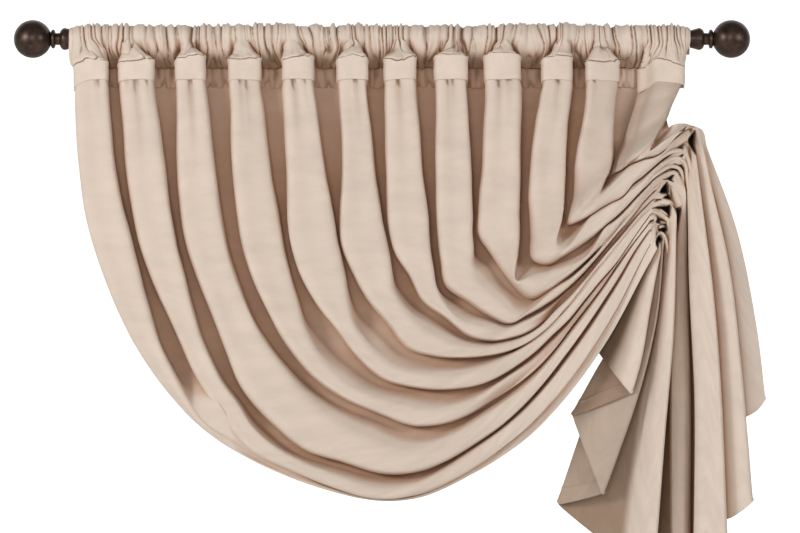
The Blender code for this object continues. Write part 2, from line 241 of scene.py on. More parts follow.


# %% [markdown]
# Velvet
#
# Velvet is short pile. It looks soft because the fibres' tips catch light at the edges of each
# fold, so the shader has a strong sheen over a rough base. The pile lies a little differently
# from place to place, which shows as faint cloudy tones, and a fine bump keeps it from looking
# like plastic. Hollows, found by an ambient occlusion node, get a deeper, browner painted shade.
# Two values at each point of the cloth say where it takes the darker tone, "turned", which is the
# tone of its reverse and also painted shade, and where no light comes, "unlit", painted shade too.


# %% Velvet
def make_velvet(name, light, painted_hollow_shade, reverse_and_shade_colour):
    material, tree, shader = new_material(
        name, Roughness=0.88, Sheen_Weight=0.25, Sheen_Roughness=0.45, Sheen_Tint=(1.0, 0.93, 0.86, 1),
        Specular_IOR_Level=0.1,
    )
    flat = add_node(tree, "ShaderNodeUVMap", uv_map="flat")
    cloudy = add_node(tree, "ShaderNodeTexNoise", Scale=28.0, Detail=5.0, Roughness=0.6)
    soft = add_node(tree, "ShaderNodeMapRange", From_Min=0.3, From_Max=0.7, To_Min=0.93, To_Max=1.05)
    # Painted shade: ambient occlusion darkens the colour towards the deep brown in hollows, creases and
    # recesses.
    hollow = add_node(tree, "ShaderNodeAmbientOcclusion", samples=8, Distance=0.06)
    middle = tuple(mix(np.array(painted_hollow_shade), np.array(light), 0.45))
    tones = colour_ramp(tree, ((0.15, painted_hollow_shade), (0.45, middle), (0.85, light)))
    # The "turned" value mixes in the darkest tone: the reverse's own tone there, and painted shade elsewhere.
    reverse_and_shade = add_node(tree, "ShaderNodeAttribute", attribute_name="turned")
    both = add_node(tree, "ShaderNodeMix", data_type="RGBA", B=(*reverse_and_shade_colour, 1))
    mottled = add_node(tree, "ShaderNodeVectorMath", operation="SCALE")
    pile = add_node(tree, "ShaderNodeTexNoise", Scale=650.0, Detail=3.0, Roughness=0.7)
    bump = add_node(tree, "ShaderNodeBump", Strength=0.25, Distance=0.0006)
    dark = add_node(tree, "ShaderNodeAttribute", attribute_name="unlit")
    lit = add_node(tree, "ShaderNodeMath", operation="SUBTRACT")
    lit.inputs[0].default_value = 1.0
    tone = add_node(tree, "ShaderNodeMath", operation="MULTIPLY")
    wire(
        tree,
        (dark, "Fac", lit, 1), (lit, "Value", tone, 0), (soft, "Result", tone, 1),
        (tone, "Value", mottled, "Scale"), (flat, "UV", cloudy, "Vector"), (flat, "UV", pile, "Vector"),
        (hollow, "AO", tones, "Fac"), (cloudy, "Fac", soft, "Value"), (reverse_and_shade, "Fac", both, "Factor"),
        (tones, "Color", both, "A"), (both, "Result", mottled, 0), (mottled, "Vector", shader, "Base Color"),
        (pile, "Fac", bump, "Height"), (bump, "Normal", shader, "Normal"),
    )
    return material


# The deep brown is painted shade for hollows; the darkest colour is the reverse's own tone and painted shade.
velvet = make_velvet("velvet", (0.70, 0.58, 0.485), painted_hollow_shade=(0.50, 0.28, 0.16), reverse_and_shade_colour=(0.24, 0.145, 0.085))

# %% [markdown]
# The twelve folds
#
# Each fold of the panel is known by its outer edge, drawn here as a curve through twenty-five
# even places from the band down to its lowest point and up again to the ruched line. Between two
# edges the cloth follows a section: a deep box fold near the band, a leaning fold lower down, and
# a narrow pleat where the folds crowd together. A drape is easiest to build this way, because its
# edges are what the eye follows, and a section swept between them keeps the cloth in one piece.
#
# The first two rows of a fold are its edge's x and z. The next two say how much of the way to the
# next edge the fold's front takes: places along the run, then shares of the way. The last row
# gives the shares of the run between which the box opens into the leaning fold, how much the front
# is turned to the left, how far the fold sinks between its neighbours where they crowd, the share
# of the run where the crease behind it closes up (2 for never), and how softly its lower flank
# swings into the recess.

# %% The folds, in millimetres and shares
Fold = namedtuple("Fold", "x z places shares open_from open_to lean sunk closes soft")
FOLDS = [Fold(*row) for row in (
    ((-524, -523, -518, -506, -484, -453, -414, -367, -312, -244, -164, -84, -12, 48, 102, 151, 198, 242, 282,
      319, 353, 384, 412, 438, 465),
     (-70, -147, -224, -301, -376, -452, -529, -600, -659, -706, -745, -772, -786, -784, -768, -743, -715,
      -683, -644, -602, -558, -512, -463, -413, -364),
     (0, 0.098, 0.149, 0.186, 0.224, 0.254, 0.29, 0.322, 0.367, 0.42, 0.5),
     (0.73, 0.79, 0.83, 0.79, 0.66, 0.54, 0.47, 0.34, 0.26, 0.3, 0.4),
     0.27, 0.36, 0.25, 0, 0.28, 0),
    ((-448, -442, -437, -426, -409, -385, -353, -318, -276, -224, -152, -80, -12, 49, 103, 151, 197, 241, 280,
      316, 349, 380, 408, 433, 460),
     (-70, -142, -213, -284, -356, -429, -501, -572, -638, -698, -733, -763, -781, -778, -759, -733, -702,
      -667, -627, -585, -540, -493, -444, -394, -344),
     (0, 0.107, 0.161, 0.202, 0.241, 0.265, 0.31, 0.338, 0.356, 0.4, 0.45),
     (0.6, 0.74, 0.82, 0.76, 0.65, 0.55, 0.56, 0.69, 0.6, 0.56, 0.62),
     0.3, 0.5, 0.12, 0, 2, 0),
    ((-351, -349, -348, -345, -337, -318, -293, -265, -234, -187, -132, -64, 0, 59, 110, 156, 200, 241, 278,
      311, 343, 373, 402, 429, 452),
     (-70, -135, -200, -265, -332, -399, -466, -534, -599, -654, -703, -724, -740, -736, -717, -690, -660,
      -624, -583, -540, -496, -452, -408, -363, -330),
     (0, 0.121, 0.183, 0.243, 0.288, 0.347, 0.41, 0.46, 0.52),
     (0.53, 0.68, 0.73, 0.72, 0.7, 0.78, 0.79, 0.74, 0.66),
     0.28, 0.5, 0.05, 0, 2, 0),
    ((-260, -257, -256, -252, -246, -236, -216, -188, -156, -116, -64, -6, 48, 99, 144, 185, 224, 261, 293,
      322, 351, 379, 405, 430, 453),
     (-70, -126, -182, -238, -296, -356, -416, -474, -528, -578, -614, -638, -658, -657, -643, -621, -596,
      -565, -530, -492, -454, -417, -379, -345, -316),
     (0, 0.133, 0.201, 0.244, 0.284, 0.316, 0.346, 0.408, 0.46),
     (0.57, 0.7, 0.85, 0.82, 0.71, 0.54, 0.48, 0.56, 0.6),
     0.26, 0.4, -0.12, 0.55, 2, 0),
    ((-168, -165, -163, -161, -160, -158, -142, -115, -80, -44, 2, 59, 111, 156, 194, 229, 262, 290, 319, 345,
      371, 396, 417, 437, 455),
     (-70, -122, -174, -227, -282, -339, -395, -448, -496, -544, -582, -596, -599, -593, -578, -557, -533,
      -506, -478, -445, -413, -385, -356, -327, -302),
     (0, 0.154, 0.2, 0.228, 0.256, 0.281, 0.319, 0.343, 0.374, 0.408, 0.46, 0.52, 0.583, 0.65, 0.67, 0.69),
     (0.54, 0.75, 0.86, 0.92, 0.95, 0.85, 0.63, 0.46, 0.46, 0.54, 0.6, 0.68, 0.78, 0.74, 0.78, 0.97),
     0.28, 0.4, 0, 0, 0.67, 0),
    ((-75, -73, -71, -70, -70, -72, -70, -48, -23, 10, 41, 88, 133, 174, 210, 243, 273, 300, 326, 349, 373,
      395, 417, 437, 456),
     (-70, -114, -157, -201, -247, -298, -352, -401, -448, -488, -527, -542, -545, -541, -533, -519, -497,
      -471, -443, -413, -385, -359, -333, -309, -290),
     (0, 0.1, 0.167, 0.232, 0.269, 0.291, 0.309, 0.337, 0.361, 0.4, 0.46, 0.5, 0.56),
     (0.62, 0.71, 0.78, 0.88, 0.89, 0.86, 0.76, 0.59, 0.61, 0.66, 0.78, 0.82, 0.75),
     0.29, 0.4, 0, 0, 2, 0),
    ((5, 5, 6, 6, 7, 9, 12, 23, 48, 70, 109, 145, 185, 220, 251, 277, 299, 324, 346, 367, 387, 407, 425, 441,
      458),
     (-70, -108, -146, -185, -226, -270, -318, -365, -405, -447, -476, -505, -515, -509, -498, -481, -457,
      -434, -408, -382, -357, -335, -313, -294, -277),
     (0, 0.125, 0.208, 0.261, 0.301, 0.334, 0.381, 0.394, 0.415, 0.433, 0.456, 0.482, 0.54),
     (0.6, 0.7, 0.77, 0.82, 0.8, 0.74, 0.7, 0.58, 0.36, 0.38, 0.68, 0.82, 0.75),
     0.36, 0.42, 0.05, 0.8, 2, 0),
    ((91, 92, 93, 93, 93, 94, 95, 97, 101, 108, 144, 180, 215, 245, 271, 295, 317, 339, 359, 378, 397, 414,
      430, 445, 461),
     (-70, -105, -140, -176, -213, -253, -295, -337, -379, -422, -448, -472, -487, -473, -459, -443, -425,
      -404, -381, -358, -335, -317, -298, -279, -262),
     (0, 0.125, 0.208, 0.25, 0.301, 0.335, 0.352, 0.372, 0.414, 0.46, 0.503, 0.52, 0.532, 0.548, 0.56),
     (0.63, 0.69, 0.77, 0.82, 0.88, 0.87, 0.8, 0.69, 0.6, 0.61, 0.48, 0.4, 0.6, 0.92, 0.97),
     0.35, 0.4, 0, 0, 0.7, 0.15),
    ((176, 176, 175, 174, 173, 171, 167, 164, 163, 182, 204, 227, 253, 280, 302, 323, 342, 361, 378, 396, 413,
      429, 444, 457, 473),
     (-70, -99, -129, -158, -190, -224, -259, -296, -333, -361, -394, -424, -443, -431, -415, -400, -384,
      -366, -347, -327, -306, -290, -274, -260, -246),
     (0, 0.125, 0.25, 0.333, 0.375, 0.397, 0.424, 0.441, 0.452, 0.46, 0.472, 0.5, 0.521, 0.542, 0.583, 0.625,
      0.667, 0.682, 0.7, 0.715),
     (0.6, 0.69, 0.78, 0.82, 0.73, 0.65, 0.48, 0.27, 0.09, 0.28, 0.65, 0.81, 0.78, 0.71, 0.59, 0.47, 0.37,
      0.45, 0.85, 0.97),
     0.42, 0.46, 0.05, 0, 2, 0.35),
    ((274, 270, 267, 263, 260, 257, 255, 253, 251, 254, 256, 256, 280, 302, 322, 341, 360, 378, 397, 415, 431,
      448, 464, 477, 491),
     (-70, -93, -116, -139, -164, -190, -218, -247, -276, -308, -341, -374, -385, -373, -361, -349, -335,
      -319, -304, -287, -270, -253, -238, -229, -222),
     (0, 0.083, 0.167, 0.25, 0.333, 0.414, 0.455, 0.47, 0.483, 0.49, 0.52, 0.55, 0.56, 0.572, 0.585),
     (0.66, 0.67, 0.69, 0.77, 0.84, 0.82, 0.85, 0.84, 0.78, 0.68, 0.45, 0.37, 0.46, 0.78, 0.96),
     0.46, 0.52, -0.1, 0, 2, 0.55),
    ((349, 348, 347, 345, 342, 338, 333, 329, 326, 325, 324, 318, 314, 331, 351, 370, 389, 408, 424, 440, 456,
      472, 487, 501, 516),
     (-70, -87, -103, -120, -139, -159, -181, -204, -227, -250, -273, -296, -318, -312, -301, -289, -279,
      -270, -251, -239, -225, -211, -199, -188, -177),
     (0, 0.083, 0.167, 0.25, 0.333, 0.423, 0.467, 0.505, 0.531, 0.556, 0.57, 0.583, 0.6, 0.62),
     (0.61, 0.6, 0.63, 0.7, 0.8, 0.92, 0.94, 0.9, 0.68, 0.52, 0.56, 0.71, 0.9, 0.97),
     0.5, 0.56, -0.3, 0, 2, 0.9),
    ((438, 439, 436, 433, 430, 425, 420, 414, 409, 403, 396, 390, 385, 398, 411, 423, 435, 448, 462, 473, 483,
      491, 499, 508, 517),
     (-70, -80, -91, -102, -114, -128, -143, -160, -176, -192, -208, -224, -236, -230, -223, -216, -211, -206,
      -203, -197, -188, -177, -168, -160, -152),
     (0, 0.167, 0.25, 0.333, 0.375, 0.417, 0.459, 0.5, 0.549, 0.583, 0.625, 0.677, 0.7, 0.733, 0.83),
     (1.21, 1.2, 1.15, 1.07, 1.02, 0.95, 0.85, 0.8, 0.72, 0.65, 0.54, 0.31, 0.42, 0.66, 0.85),
     0.6, 0.7, -0.3, 0, 2, 1),
)]
SIDE_EDGE = (
    (502, 501, 499, 496, 494, 492, 489, 487, 486, 486, 486, 487, 488, 490, 493, 496, 500, 504, 508, 512, 517,
     522, 528, 533, 539),
    (-70, -75, -80, -86, -92, -99, -108, -116, -124, -132, -140, -147, -152, -153, -151, -149, -147, -146,
     -146, -146, -146, -147, -149, -150, -152),
)
COLUMNS_PER_FOLD = 8
LAST_COLUMN = COLUMNS_PER_FOLD * len(FOLDS)

# %% [markdown]
# How deep the folds lie: at each run the recess's depth at the outer fold, how much deeper it is
# at the inner one, and how far the fronts stand out from it.

# %% Depths along the run, in millimetres
Depth = namedtuple("Depth", "run floor tilt rise")
DEPTHS = [Depth(*row) for row in (
    (0, 5, 0, 42), (0.17, 2, 0, 50), (0.33, -14, 0, 48), (0.5, -50, 4, 42), (0.67, -60, 12, 34),
    (0.83, -60, 22, 30), (1, -54, 30, 15),
)]
RECESS_DROP = 0.013
FULL_PITCH = 0.036
TUCK_HEAD, TUCK_GATHER = 0.012, 0.005
TUCK_OF_PITCH = 0.22
CROWDED_PITCH, ROOMY_PITCH = 0.020, 0.042
CLOSED_PITCH = 0.004
CLOSED_HEIGHT = 0.94
BEND_REACH = 0.05
NEVER = (2, 3)
CROWDED_FROM = [(0.54, 0.66)] * 8 + [(0.70, 0.78)] + [NEVER] * 3

# %% [markdown]
# A section is a row of places from one edge to the next. Each place gives its column, how far it
# lies along the whole pitch and along the front's part of it, how far it is tucked in behind the
# next edge, and how high it stands, from 0 in the recess to 1 on the front.

# %% The sections of one fold
Place = namedtuple("Place", "column pitch front tuck height")
SECTION_COLUMNS = (0, 0.5, 1, 2, 3, 3.5, 4, 4.5, 5, 6, 7)
NONE = (0,) * len(SECTION_COLUMNS)


def section(pitch, front, tuck, height):
    """The section's places, from one row of values for each of their fields."""
    return [Place(*values) for values in zip(SECTION_COLUMNS, pitch, front, tuck, height)]


BOX_SECTION = section(
    pitch=(0, 0.004, 0.045, 0, -0.045, -0.006, 0, -0.015, 0.015, 1, 1),
    front=(0, 0, 0, 0.45, 1, 1, 1, 1, 1, 0, 0),
    tuck=(0, 0, 0, 0, 0, 0, 0, 0, 0, 0.2, 1),
    height=(0.5, 0.82, 0.95, 1, 0.96, 0.86, 0.5, 0.24, 0.03, 0, 0.2),
)
LEANING_SECTION = section(
    pitch=(0, 0.015, 0.02, 0, 0, 0, 0, 0.25, 0.55, 0.98, 1),
    front=(0, 0, 0.07, 0.42, 0.74, 0.88, 1, 0.75, 0.45, 0.02, 0),
    tuck=(0, 0, 0, 0, 0, 0, 0, 0, 0, 0.6, 1),
    height=(0.42, 0.74, 0.92, 1, 0.98, 0.93, 0.82, 0.55, 0.24, 0.03, 0.06),
)
PLEAT_SECTION = section(
    pitch=(0, 0.01, 0.05, 0.24, 0.52, 0.67, 0.76, 0.82, 0.86, 0.9, 0.97),
    front=NONE,
    tuck=NONE,
    height=(0.3, 0.7, 0.94, 1, 1, 0.97, 0.9, 0.7, 0.34, 0, 0),
)
SIDE_BOX_SECTION = section(
    pitch=(0, 0, 0, 0, 0, 0, 0, 0.01, 0.03, 0.35, 0.75),
    front=(0, 0.02, 0.1, 0.4, 0.82, 0.98, 1, 0.99, 0.97, 0.65, 0.25),
    tuck=NONE,
    height=(0.36, 0.48, 0.58, 0.86, 1, 0.9, 0.5, 0.3, 0.2, 0.04, 0),
)
SIDE_LEANING_SECTION = section(
    pitch=(0, 0.02, 0.06, 0, 0, 0, 0, 0.25, 0.5, 0.75, 0.9),
    front=(0, 0, 0.02, 0.42, 0.74, 0.88, 1, 0.75, 0.5, 0.25, 0.1),
    tuck=NONE,
    height=(0.42, 0.7, 0.88, 1, 0.9, 0.8, 0.66, 0.46, 0.3, 0.14, 0.06),
)
SOFT_FLANK = ((0.25, 0.0), (0.45, 0.03), (0.62, 0.12), (0.92, 0.0))
FINE_STEPS = (2, 2, 6, 6, 2, 2, 2, 2, 5, 3, 2)
COLUMNS = [COLUMNS_PER_FOLD * k + column for k in range(len(FOLDS)) for column in SECTION_COLUMNS]
COLUMNS = np.array(COLUMNS + [LAST_COLUMN])


# %% The swag's rows
def edge_lines(runs):
    """The outer edge of every fold, and the side edge, as (x, z) in metres at each run."""
    lines = []
    for x, z in [(fold.x, fold.z) for fold in FOLDS] + [SIDE_EDGE]:
        lines.append(curve_at(np.stack([x, z], axis=1), runs, first_slope=(0, z[1] - z[0])))
    return np.stack(lines, axis=1) * MM


def lines_beside(runs, step):
    """The edges a step before each run and a step after it."""
    return edge_lines(np.maximum(runs - step, 0)), edge_lines(np.minimum(runs + step, 1))


def front_share(fold, runs):
    """How much of the way to the next edge the fold's front takes at each run, a little smoothed."""
    return sum(np.interp(runs + step, fold.places, fold.shares) for step in (-0.006, 0, 0.006)) / 3


def depth_at(runs):
    """Floor, tilt and rise at each run, in metres."""
    values = np.zeros((len(runs), 3))
    for low, high in zip(DEPTHS, DEPTHS[1:]):
        inside = (runs >= low.run) & (runs <= high.run)
        share = ease(runs[inside], low.run, high.run)[:, None]
        values[inside] = mix(np.array(low[1:]), np.array(high[1:]), share)
    return values.T * MM


def swag_rows(runs):
    """The panel's sections at the given runs, one point for each column."""
    edges = edge_lines(runs)
    near, far = lines_beside(runs, 0.01)
    ahead = (far - near) / np.linalg.norm(far - near, axis=2, keepdims=True)
    inwards = np.stack([-ahead[..., 1], ahead[..., 0]], axis=2)
    near, far = lines_beside(runs, BEND_REACH)
    turn_a, turn_b = edges - near, far - edges
    lengths = np.linalg.norm(turn_a, axis=2) * np.linalg.norm(turn_b, axis=2) + 1e-12
    straight = (turn_a * turn_b).sum(2) / lengths
    straight = np.where((runs < BEND_REACH)[:, None] | (runs > 1 - BEND_REACH)[:, None], 1, straight)
    to_next = edges[:, 1:] - edges[:, :-1]
    pitches = np.abs((to_next * inwards[:, 1:]).sum(2))
    pitches = np.maximum(pitches, 0.75 * np.linalg.norm(to_next, axis=2))
    outer_floor, tilt, full_rise = depth_at(runs)
    tuck_size = mix(TUCK_HEAD, TUCK_GATHER, ease(runs, 0.3, 1.0))
    drop = RECESS_DROP * (1 - ease(runs, 0.0, 0.12))
    closing = [ease(runs, fold.closes, fold.closes + 0.05) for fold in FOLDS]
    closing_before = [0 * runs, 0 * runs] + closing[1:-1]
    columns = []
    for k, fold in enumerate(FOLDS):
        start, end, inward, pitch = edges[:, k], edges[:, k + 1], inwards[:, k + 1], pitches[:, k]
        last = k == len(FOLDS) - 1
        rise = full_rise * np.clip((pitch - CLOSED_PITCH) / FULL_PITCH, 0, 1) ** 0.6
        rise = rise * (1 - fold.sunk * ease(runs, 0.56, 0.68) * (1 - ease(runs, 0.90, 0.98)))
        shut = ease(runs, fold.open_from, fold.open_to)
        front = front_share(fold, runs)
        room = ease(np.minimum(pitch, pitches[:, k if last else k + 1]), CROWDED_PITCH, ROOMY_PITCH)
        room = room * (1 - ease(runs, *CROWDED_FROM[k]))
        straight_here = np.clip(straight[:, k + 1], 0, 1) ** 2
        tuck_here = np.minimum(tuck_size, pitch * TUCK_OF_PITCH) * straight_here
        boxes = SIDE_BOX_SECTION if last else BOX_SECTION
        leanings = SIDE_LEANING_SECTION if last else LEANING_SECTION
        soft = fold.soft * (1 - ease(runs, 0.50, 0.57)) * (1 if last else ease(runs, 0.22, 0.42))
        for j, (box, leaning, pleat) in enumerate(zip(boxes, leanings, PLEAT_SECTION)):
            leant = leaning.pitch + leaning.front * front
            share = mix(box.pitch + box.front * front, mix(pleat.pitch, leant, room), shut)
            tuck = mix(box.tuck, mix(pleat.tuck, leaning.tuck, room), shut) * tuck_here
            height = mix(box.height, mix(pleat.height, leaning.height, room), shut)
            closed = closing[k] if box.column > 3 else closing_before[k]
            height = mix(height, np.maximum(height, CLOSED_HEIGHT), closed)
            if j < len(SOFT_FLANK):
                height = height * (1 - soft * (1 - SOFT_FLANK[j][0]))
                share = share + soft * SOFT_FLANK[j][1] * front
            across = box.front if box.column <= 4 else 1.0
            turned_back = abs(fold.lean) * (1 - across if fold.lean > 0 else across)
            height = height * (1 - turned_back * (1 - shut))
            floor = outer_floor + tilt * (k + box.column / COLUMNS_PER_FOLD) / len(FOLDS)
            place = mix(start, end, share[:, None]) + inward * tuck[:, None]
            depth = floor - rise * height
            columns.append(np.stack([place[:, 0], depth, place[:, 1] - drop * (1 - height)], axis=1))
    columns.append(np.stack([edges[:, -1, 0], outer_floor + tilt, edges[:, -1, 1] - drop], axis=1))
    return np.stack(columns, axis=1)


# %% [markdown]
# The tail
#
# Past the ruched line the same cloth hangs down in layers, folded left and right like a jabot.
# Each crease has its column, the way it turns, whether the next layer goes behind or in front,
# how far the cloth after it bulges, and four places from the ruched line down to the hem.

# %% The tail's creases, in millimetres
Crease = namedtuple("Crease", "column turn layer bulge top upper lower hem")
CREASES = [Crease(*row) for row in (
    (0, 0, 0, 4, (446, -40, -376), (408, -42, -430), (376, -42, -476), (352, -42, -512)),
    (10, 1, 1, 2, (473, -53, -370), (457, -56, -455), (443, -58, -540), (426, -58, -604)),
    (18, -1, 1, 4, (461, -38, -362), (441, -32, -463), (383, -28, -536), (321, -26, -643)),
    (26, 1, 1, 2, (480, -43, -346), (468, -44, -478), (434, -46, -617), (378, -44, -775)),
    (34, -1, 1, -6, (468, -28, -334), (434, -16, -506), (368, -8, -597), (298, -4, -795)),
    (43, 0, 0, 6, (484, -34, -324), (467, -34, -498), (443, -28, -652), (417, -24, -884)),
    (51, 1, 1, 0, (502, -42, -306), (497, -48, -490), (482, -50, -668), (465, -50, -894)),
    (55, 0, 0, -2, (493, -22, -298), (484, -8, -490), (468, -2, -668), (452, 2, -895)),
    (59, 0, 0, 3, (506, -14, -288), (507, -6, -460), (504, -4, -660), (505, 0, -896)),
    (63, -1, -1, 5, (506, -26, -286), (493, -26, -446), (490, -26, -640), (491, -24, -896)),
    (70, 1, 1, 0, (520, -28, -272), (523, -26, -440), (527, -22, -640), (527, -18, -896)),
    (74, 0, 0, 0, (517, -14, -262), (516, -6, -430), (518, 2, -630), (520, 6, -890)),
    (76, 0, 0, 0, (531, -16, -256), (536, -10, -425), (539, -8, -630), (541, -8, -888)),
    (78, -1, -1, 8, (519, -30, -252), (522, -42, -420), (532, -42, -630), (530, -40, -884)),
    (84, 1, 1, 0, (540, -42, -240), (563, -54, -420), (577, -56, -610), (588, -54, -852)),
    (86, 0, 0, 6, (535, -30, -232), (556, -38, -400), (570, -38, -590), (580, -36, -824)),
    (90, 1, 1, 0, (553, -34, -208), (590, -43, -385), (612, -43, -560), (632, -40, -788)),
    (92, 0, 0, 6, (548, -21, -200), (580, -28, -352), (596, -26, -490), (604, -24, -650)),
    (96, 0, 0, 0, (556, -20, -190), (606, -26, -330), (637, -25, -480), (655, -22, -622)),
)]
TURN_TOP, TURN_HEM = 0.0022, 0.0040
HEM_SAG = 0.8
CORNER_ROUNDING = 0.008
HEM_ROWS = (40, 34, 31, 29.5, 28, 26.5, 25, 20, 12, 5, 1.5, 0)


# %% The tail's rows
def tail_rows(count):
    """The tail's sections from under the ruched line to the hem, closer together along the hem."""
    knots = []
    hem = np.array(HEM_ROWS) * MM
    for crease in CREASES:
        fine = curve_at((crease.top, crease.upper, crease.lower, crease.hem), np.linspace(0, 1, 65)) * MM
        length = along(fine[None], 1)[0, -1]
        upper = (length - hem[0]) * (np.arange(count) / count) ** 1.5
        places = np.concatenate([upper, length - hem])
        shares = places / length
        radius = mix(TURN_TOP, TURN_HEM, shares)
        line = spots_on(fine, places)
        if crease.turn:
            before, after = line.copy(), line.copy()
            before[:, 0] -= crease.turn * radius
            after[:, 0] -= crease.turn * radius
            before[:, 1] -= crease.layer * radius
            after[:, 1] += crease.layer * radius
            knots += [(crease.column - 1, before), (crease.column, line), (crease.column + 1, after)]
        else:
            knots.append((crease.column, line))
    places = np.array([column for column, _ in knots])
    lines = np.stack([line for _, line in knots])
    between = np.minimum(np.searchsorted(places, COLUMNS, side="right") - 1, len(knots) - 2)
    low, high = places[between], places[between + 1]
    share = ((COLUMNS - low) / (high - low))[:, None, None]
    rows = mix(lines[between], lines[between + 1], share).swapaxes(0, 1)
    rounded = hill(np.concatenate([np.ones(count), hem]), 0, CORNER_ROUNDING)[:, None]
    for crease, following in zip(CREASES, CREASES[1:]):
        across = np.clip((COLUMNS - crease.column) / (following.column - crease.column), 0, 1)
        arch = 4 * across * (1 - across)
        rows[..., 1] -= crease.bulge * MM * arch * ease(shares, 0.0, 0.2)[:, None]
        rows[..., 2] -= HEM_SAG * abs(crease.bulge) * MM * arch * (shares[:, None] ** 6)
        if crease.turn:
            at_fold = np.clip(1 - np.abs(COLUMNS - crease.column) / 1.2, 0, 1)
            rows[..., 2] += 0.4 * CORNER_ROUNDING * at_fold * rounded
    rows[..., 2] += CORNER_ROUNDING * np.clip(1 - (LAST_COLUMN - COLUMNS) / 1.6, 0, 1) ** 2 * rounded
    return rows


# %% [markdown]
# The panel as one sheet
#
# Swag and tail are one length of cloth. Between them it turns over the ruched line: each column
# leaves the swag in the direction it arrives, and bends down into the tail.

# %% The panel's grid
SWAG_ROWS, OVER_ROWS, TAIL_ROWS = 120, 36, 70
BAND_OVER_PANEL = 0.022
ARRIVE_REACH, LEAVE_REACH = 0.05, 0.06

swag = swag_rows(np.linspace(0, 1, SWAG_ROWS))
tail = tail_rows(TAIL_ROWS - len(HEM_ROWS))
arrive = (swag[-1] - swag[-2]) * SWAG_ROWS
arrive *= ARRIVE_REACH / np.linalg.norm(arrive, axis=1, keepdims=True)
leave = tail[6] - tail[0]
leave *= LEAVE_REACH / np.linalg.norm(leave, axis=1, keepdims=True)
over = [hermite(swag[-1], tail[0], arrive, leave, k / (OVER_ROWS + 1)) for k in range(1, OVER_ROWS + 1)]
behind_band = [swag[0] + (0, 0, BAND_OVER_PANEL * share) for share in (1.0, 0.5)]
panel_grid = refine(np.concatenate([behind_band, swag, over, tail]), FINE_STEPS)
HEAD_ROW = len(behind_band)
GATHER_ROW = HEAD_ROW + SWAG_ROWS
TAIL_ROW = GATHER_ROW + OVER_ROWS

# %% [markdown]
# Creases and crumple
#
# The band holds the cloth in small puckers, so soft crimps stand out from each fold's front below
# the band and fade downwards. The table gives where each starts along the band, how strong and
# wide it is there and how far down it reaches. Besides these the cloth is never quite smooth: long
# shallow waves follow the folds, and finer ones gather towards the ruched line. The hem is turned
# back, which shows as a step and a ridge where the tail's zigzag turns over to the reverse.
# All of it is a push against the cloth's face, so where the reverse shows it comes forward.

# %% Crimps below the band, in millimetres, and the tail's columns that show their reverse
REVERSED = ((10, 18), (26, 34))
Crimp = namedtuple("Crimp", "start height width reach")
CRIMPS = [Crimp(*row) for row in (
    (-504, 4, 5, 190), (-486, 2, 4, 90), (-437, 1.5, 4, 70), (-421, 3.6, 5, 170), (-402, 1.8, 4, 90),
    (-328, 3.8, 4.5, 160), (-243, 2, 4, 100), (-232, 2.2, 4, 130), (-152, 2.4, 4.5, 140),
    (-133, 1.8, 4, 90), (-46, 2.6, 4.5, 130), (27, 2.6, 5, 150), (111, 2, 4, 110), (120, 2, 4, 80),
    (198, 2.4, 5, 140), (215, 1.8, 4.5, 110), (299, 2.6, 4.5, 120), (361, 2, 4, 70), (380, 2.4, 4.5, 110),
    (458, 2.4, 6, 80),
)]

# %% The panel with its creases
HEM_DEPTH, HEM_STEP, HEM_RIDGE, HEM_ROLL = 0.028, 0.0006, 0.0018, 0.0016
WAVE, FINE_WAVE, PUCKER = 0.0030, 0.0011, 0.0016

fine = np.cumsum([0] + list(np.resize(FINE_STEPS, len(COLUMNS) - 1)))
column_of = np.interp(np.arange(panel_grid.shape[1]), fine, COLUMNS)
down = along(panel_grid, 0)
across = np.broadcast_to(along(panel_grid, 1).mean(0), down.shape)
below_band = down - down[HEAD_ROW]
start_x = panel_grid[HEAD_ROW, :, 0] / MM
on_front = ease(panel_grid[HEAD_ROW, :, 1], -0.030, -0.036)
push = np.zeros(down.shape)
crimp_shade = 0
for crimp in CRIMPS:
    fade = np.clip(1 - below_band / (crimp.reach * MM), 0, 1) ** 1.5 * ease(below_band, -0.002, 0.004)
    shape = crimp.height * fade * hill(start_x, crimp.start, crimp.width) * on_front
    push -= 1.5 * MM * shape
    crimp_shade = crimp_shade + shape / 4
row_share = np.arange(len(panel_grid))[:, None] / GATHER_ROW
open_cloth = 1 - ease(row_share, 0.55, 0.95) * (1 - ease(row_share, 1.15, 1.6))
in_tail = ease(row_share, 1.3, 1.6)
push += WAVE * open_cloth * (1 - 0.75 * in_tail) * ripples(down / 0.150 + 3, across / 0.024, 41)
push += FINE_WAVE * open_cloth * (1 - 0.85 * in_tail) * ripples(down / 0.060, across / 0.011 + 7, 42)
push *= ease(below_band, -0.004, 0.010)
from_hem = down[-1] - down
reversed_here = sum(
    np.interp(column_of, (a - 0.5, a + 0.5, b - 0.5, b + 0.5), (0, 1, 1, 0)) for a, b in REVERSED
)
hem_step = HEM_STEP * (1 - ease(from_hem, 0.0265, 0.0285)) + HEM_RIDGE * hill(from_hem, HEM_DEPTH, 0.0016)
push += hem_step * reversed_here
push -= HEM_ROLL * (1 - ease(from_hem, 0.0, 0.003))
in_recess = 1 - ease(-panel_grid[HEAD_ROW, :, 1], 0.0, 0.015)
puckers = ripples(across / 0.009, down / 0.06, 51) * np.clip(1 - below_band / 0.05, 0, 1) ** 1.5
push += PUCKER * puckers * in_recess * ease(below_band, -0.002, 0.004)
panel_grid = panel_grid - normals_of(panel_grid) * push[..., None]

# %% [markdown]
# The ruched line
#
# Where the folds are drawn up, the cloth between the stitches stands out in small puffs with deep
# pits between them. Each pit is a closed outline. The panel is pressed back inside it, and gets
# less colour there, since no light reaches the bottom of a pit that a sheet can only hint at. The
# puffs are short rolls of the same cloth, each laid along its own crest line just in front of the
# panel. Each row below gives x and z of a crest or an outline, and then its sizes.

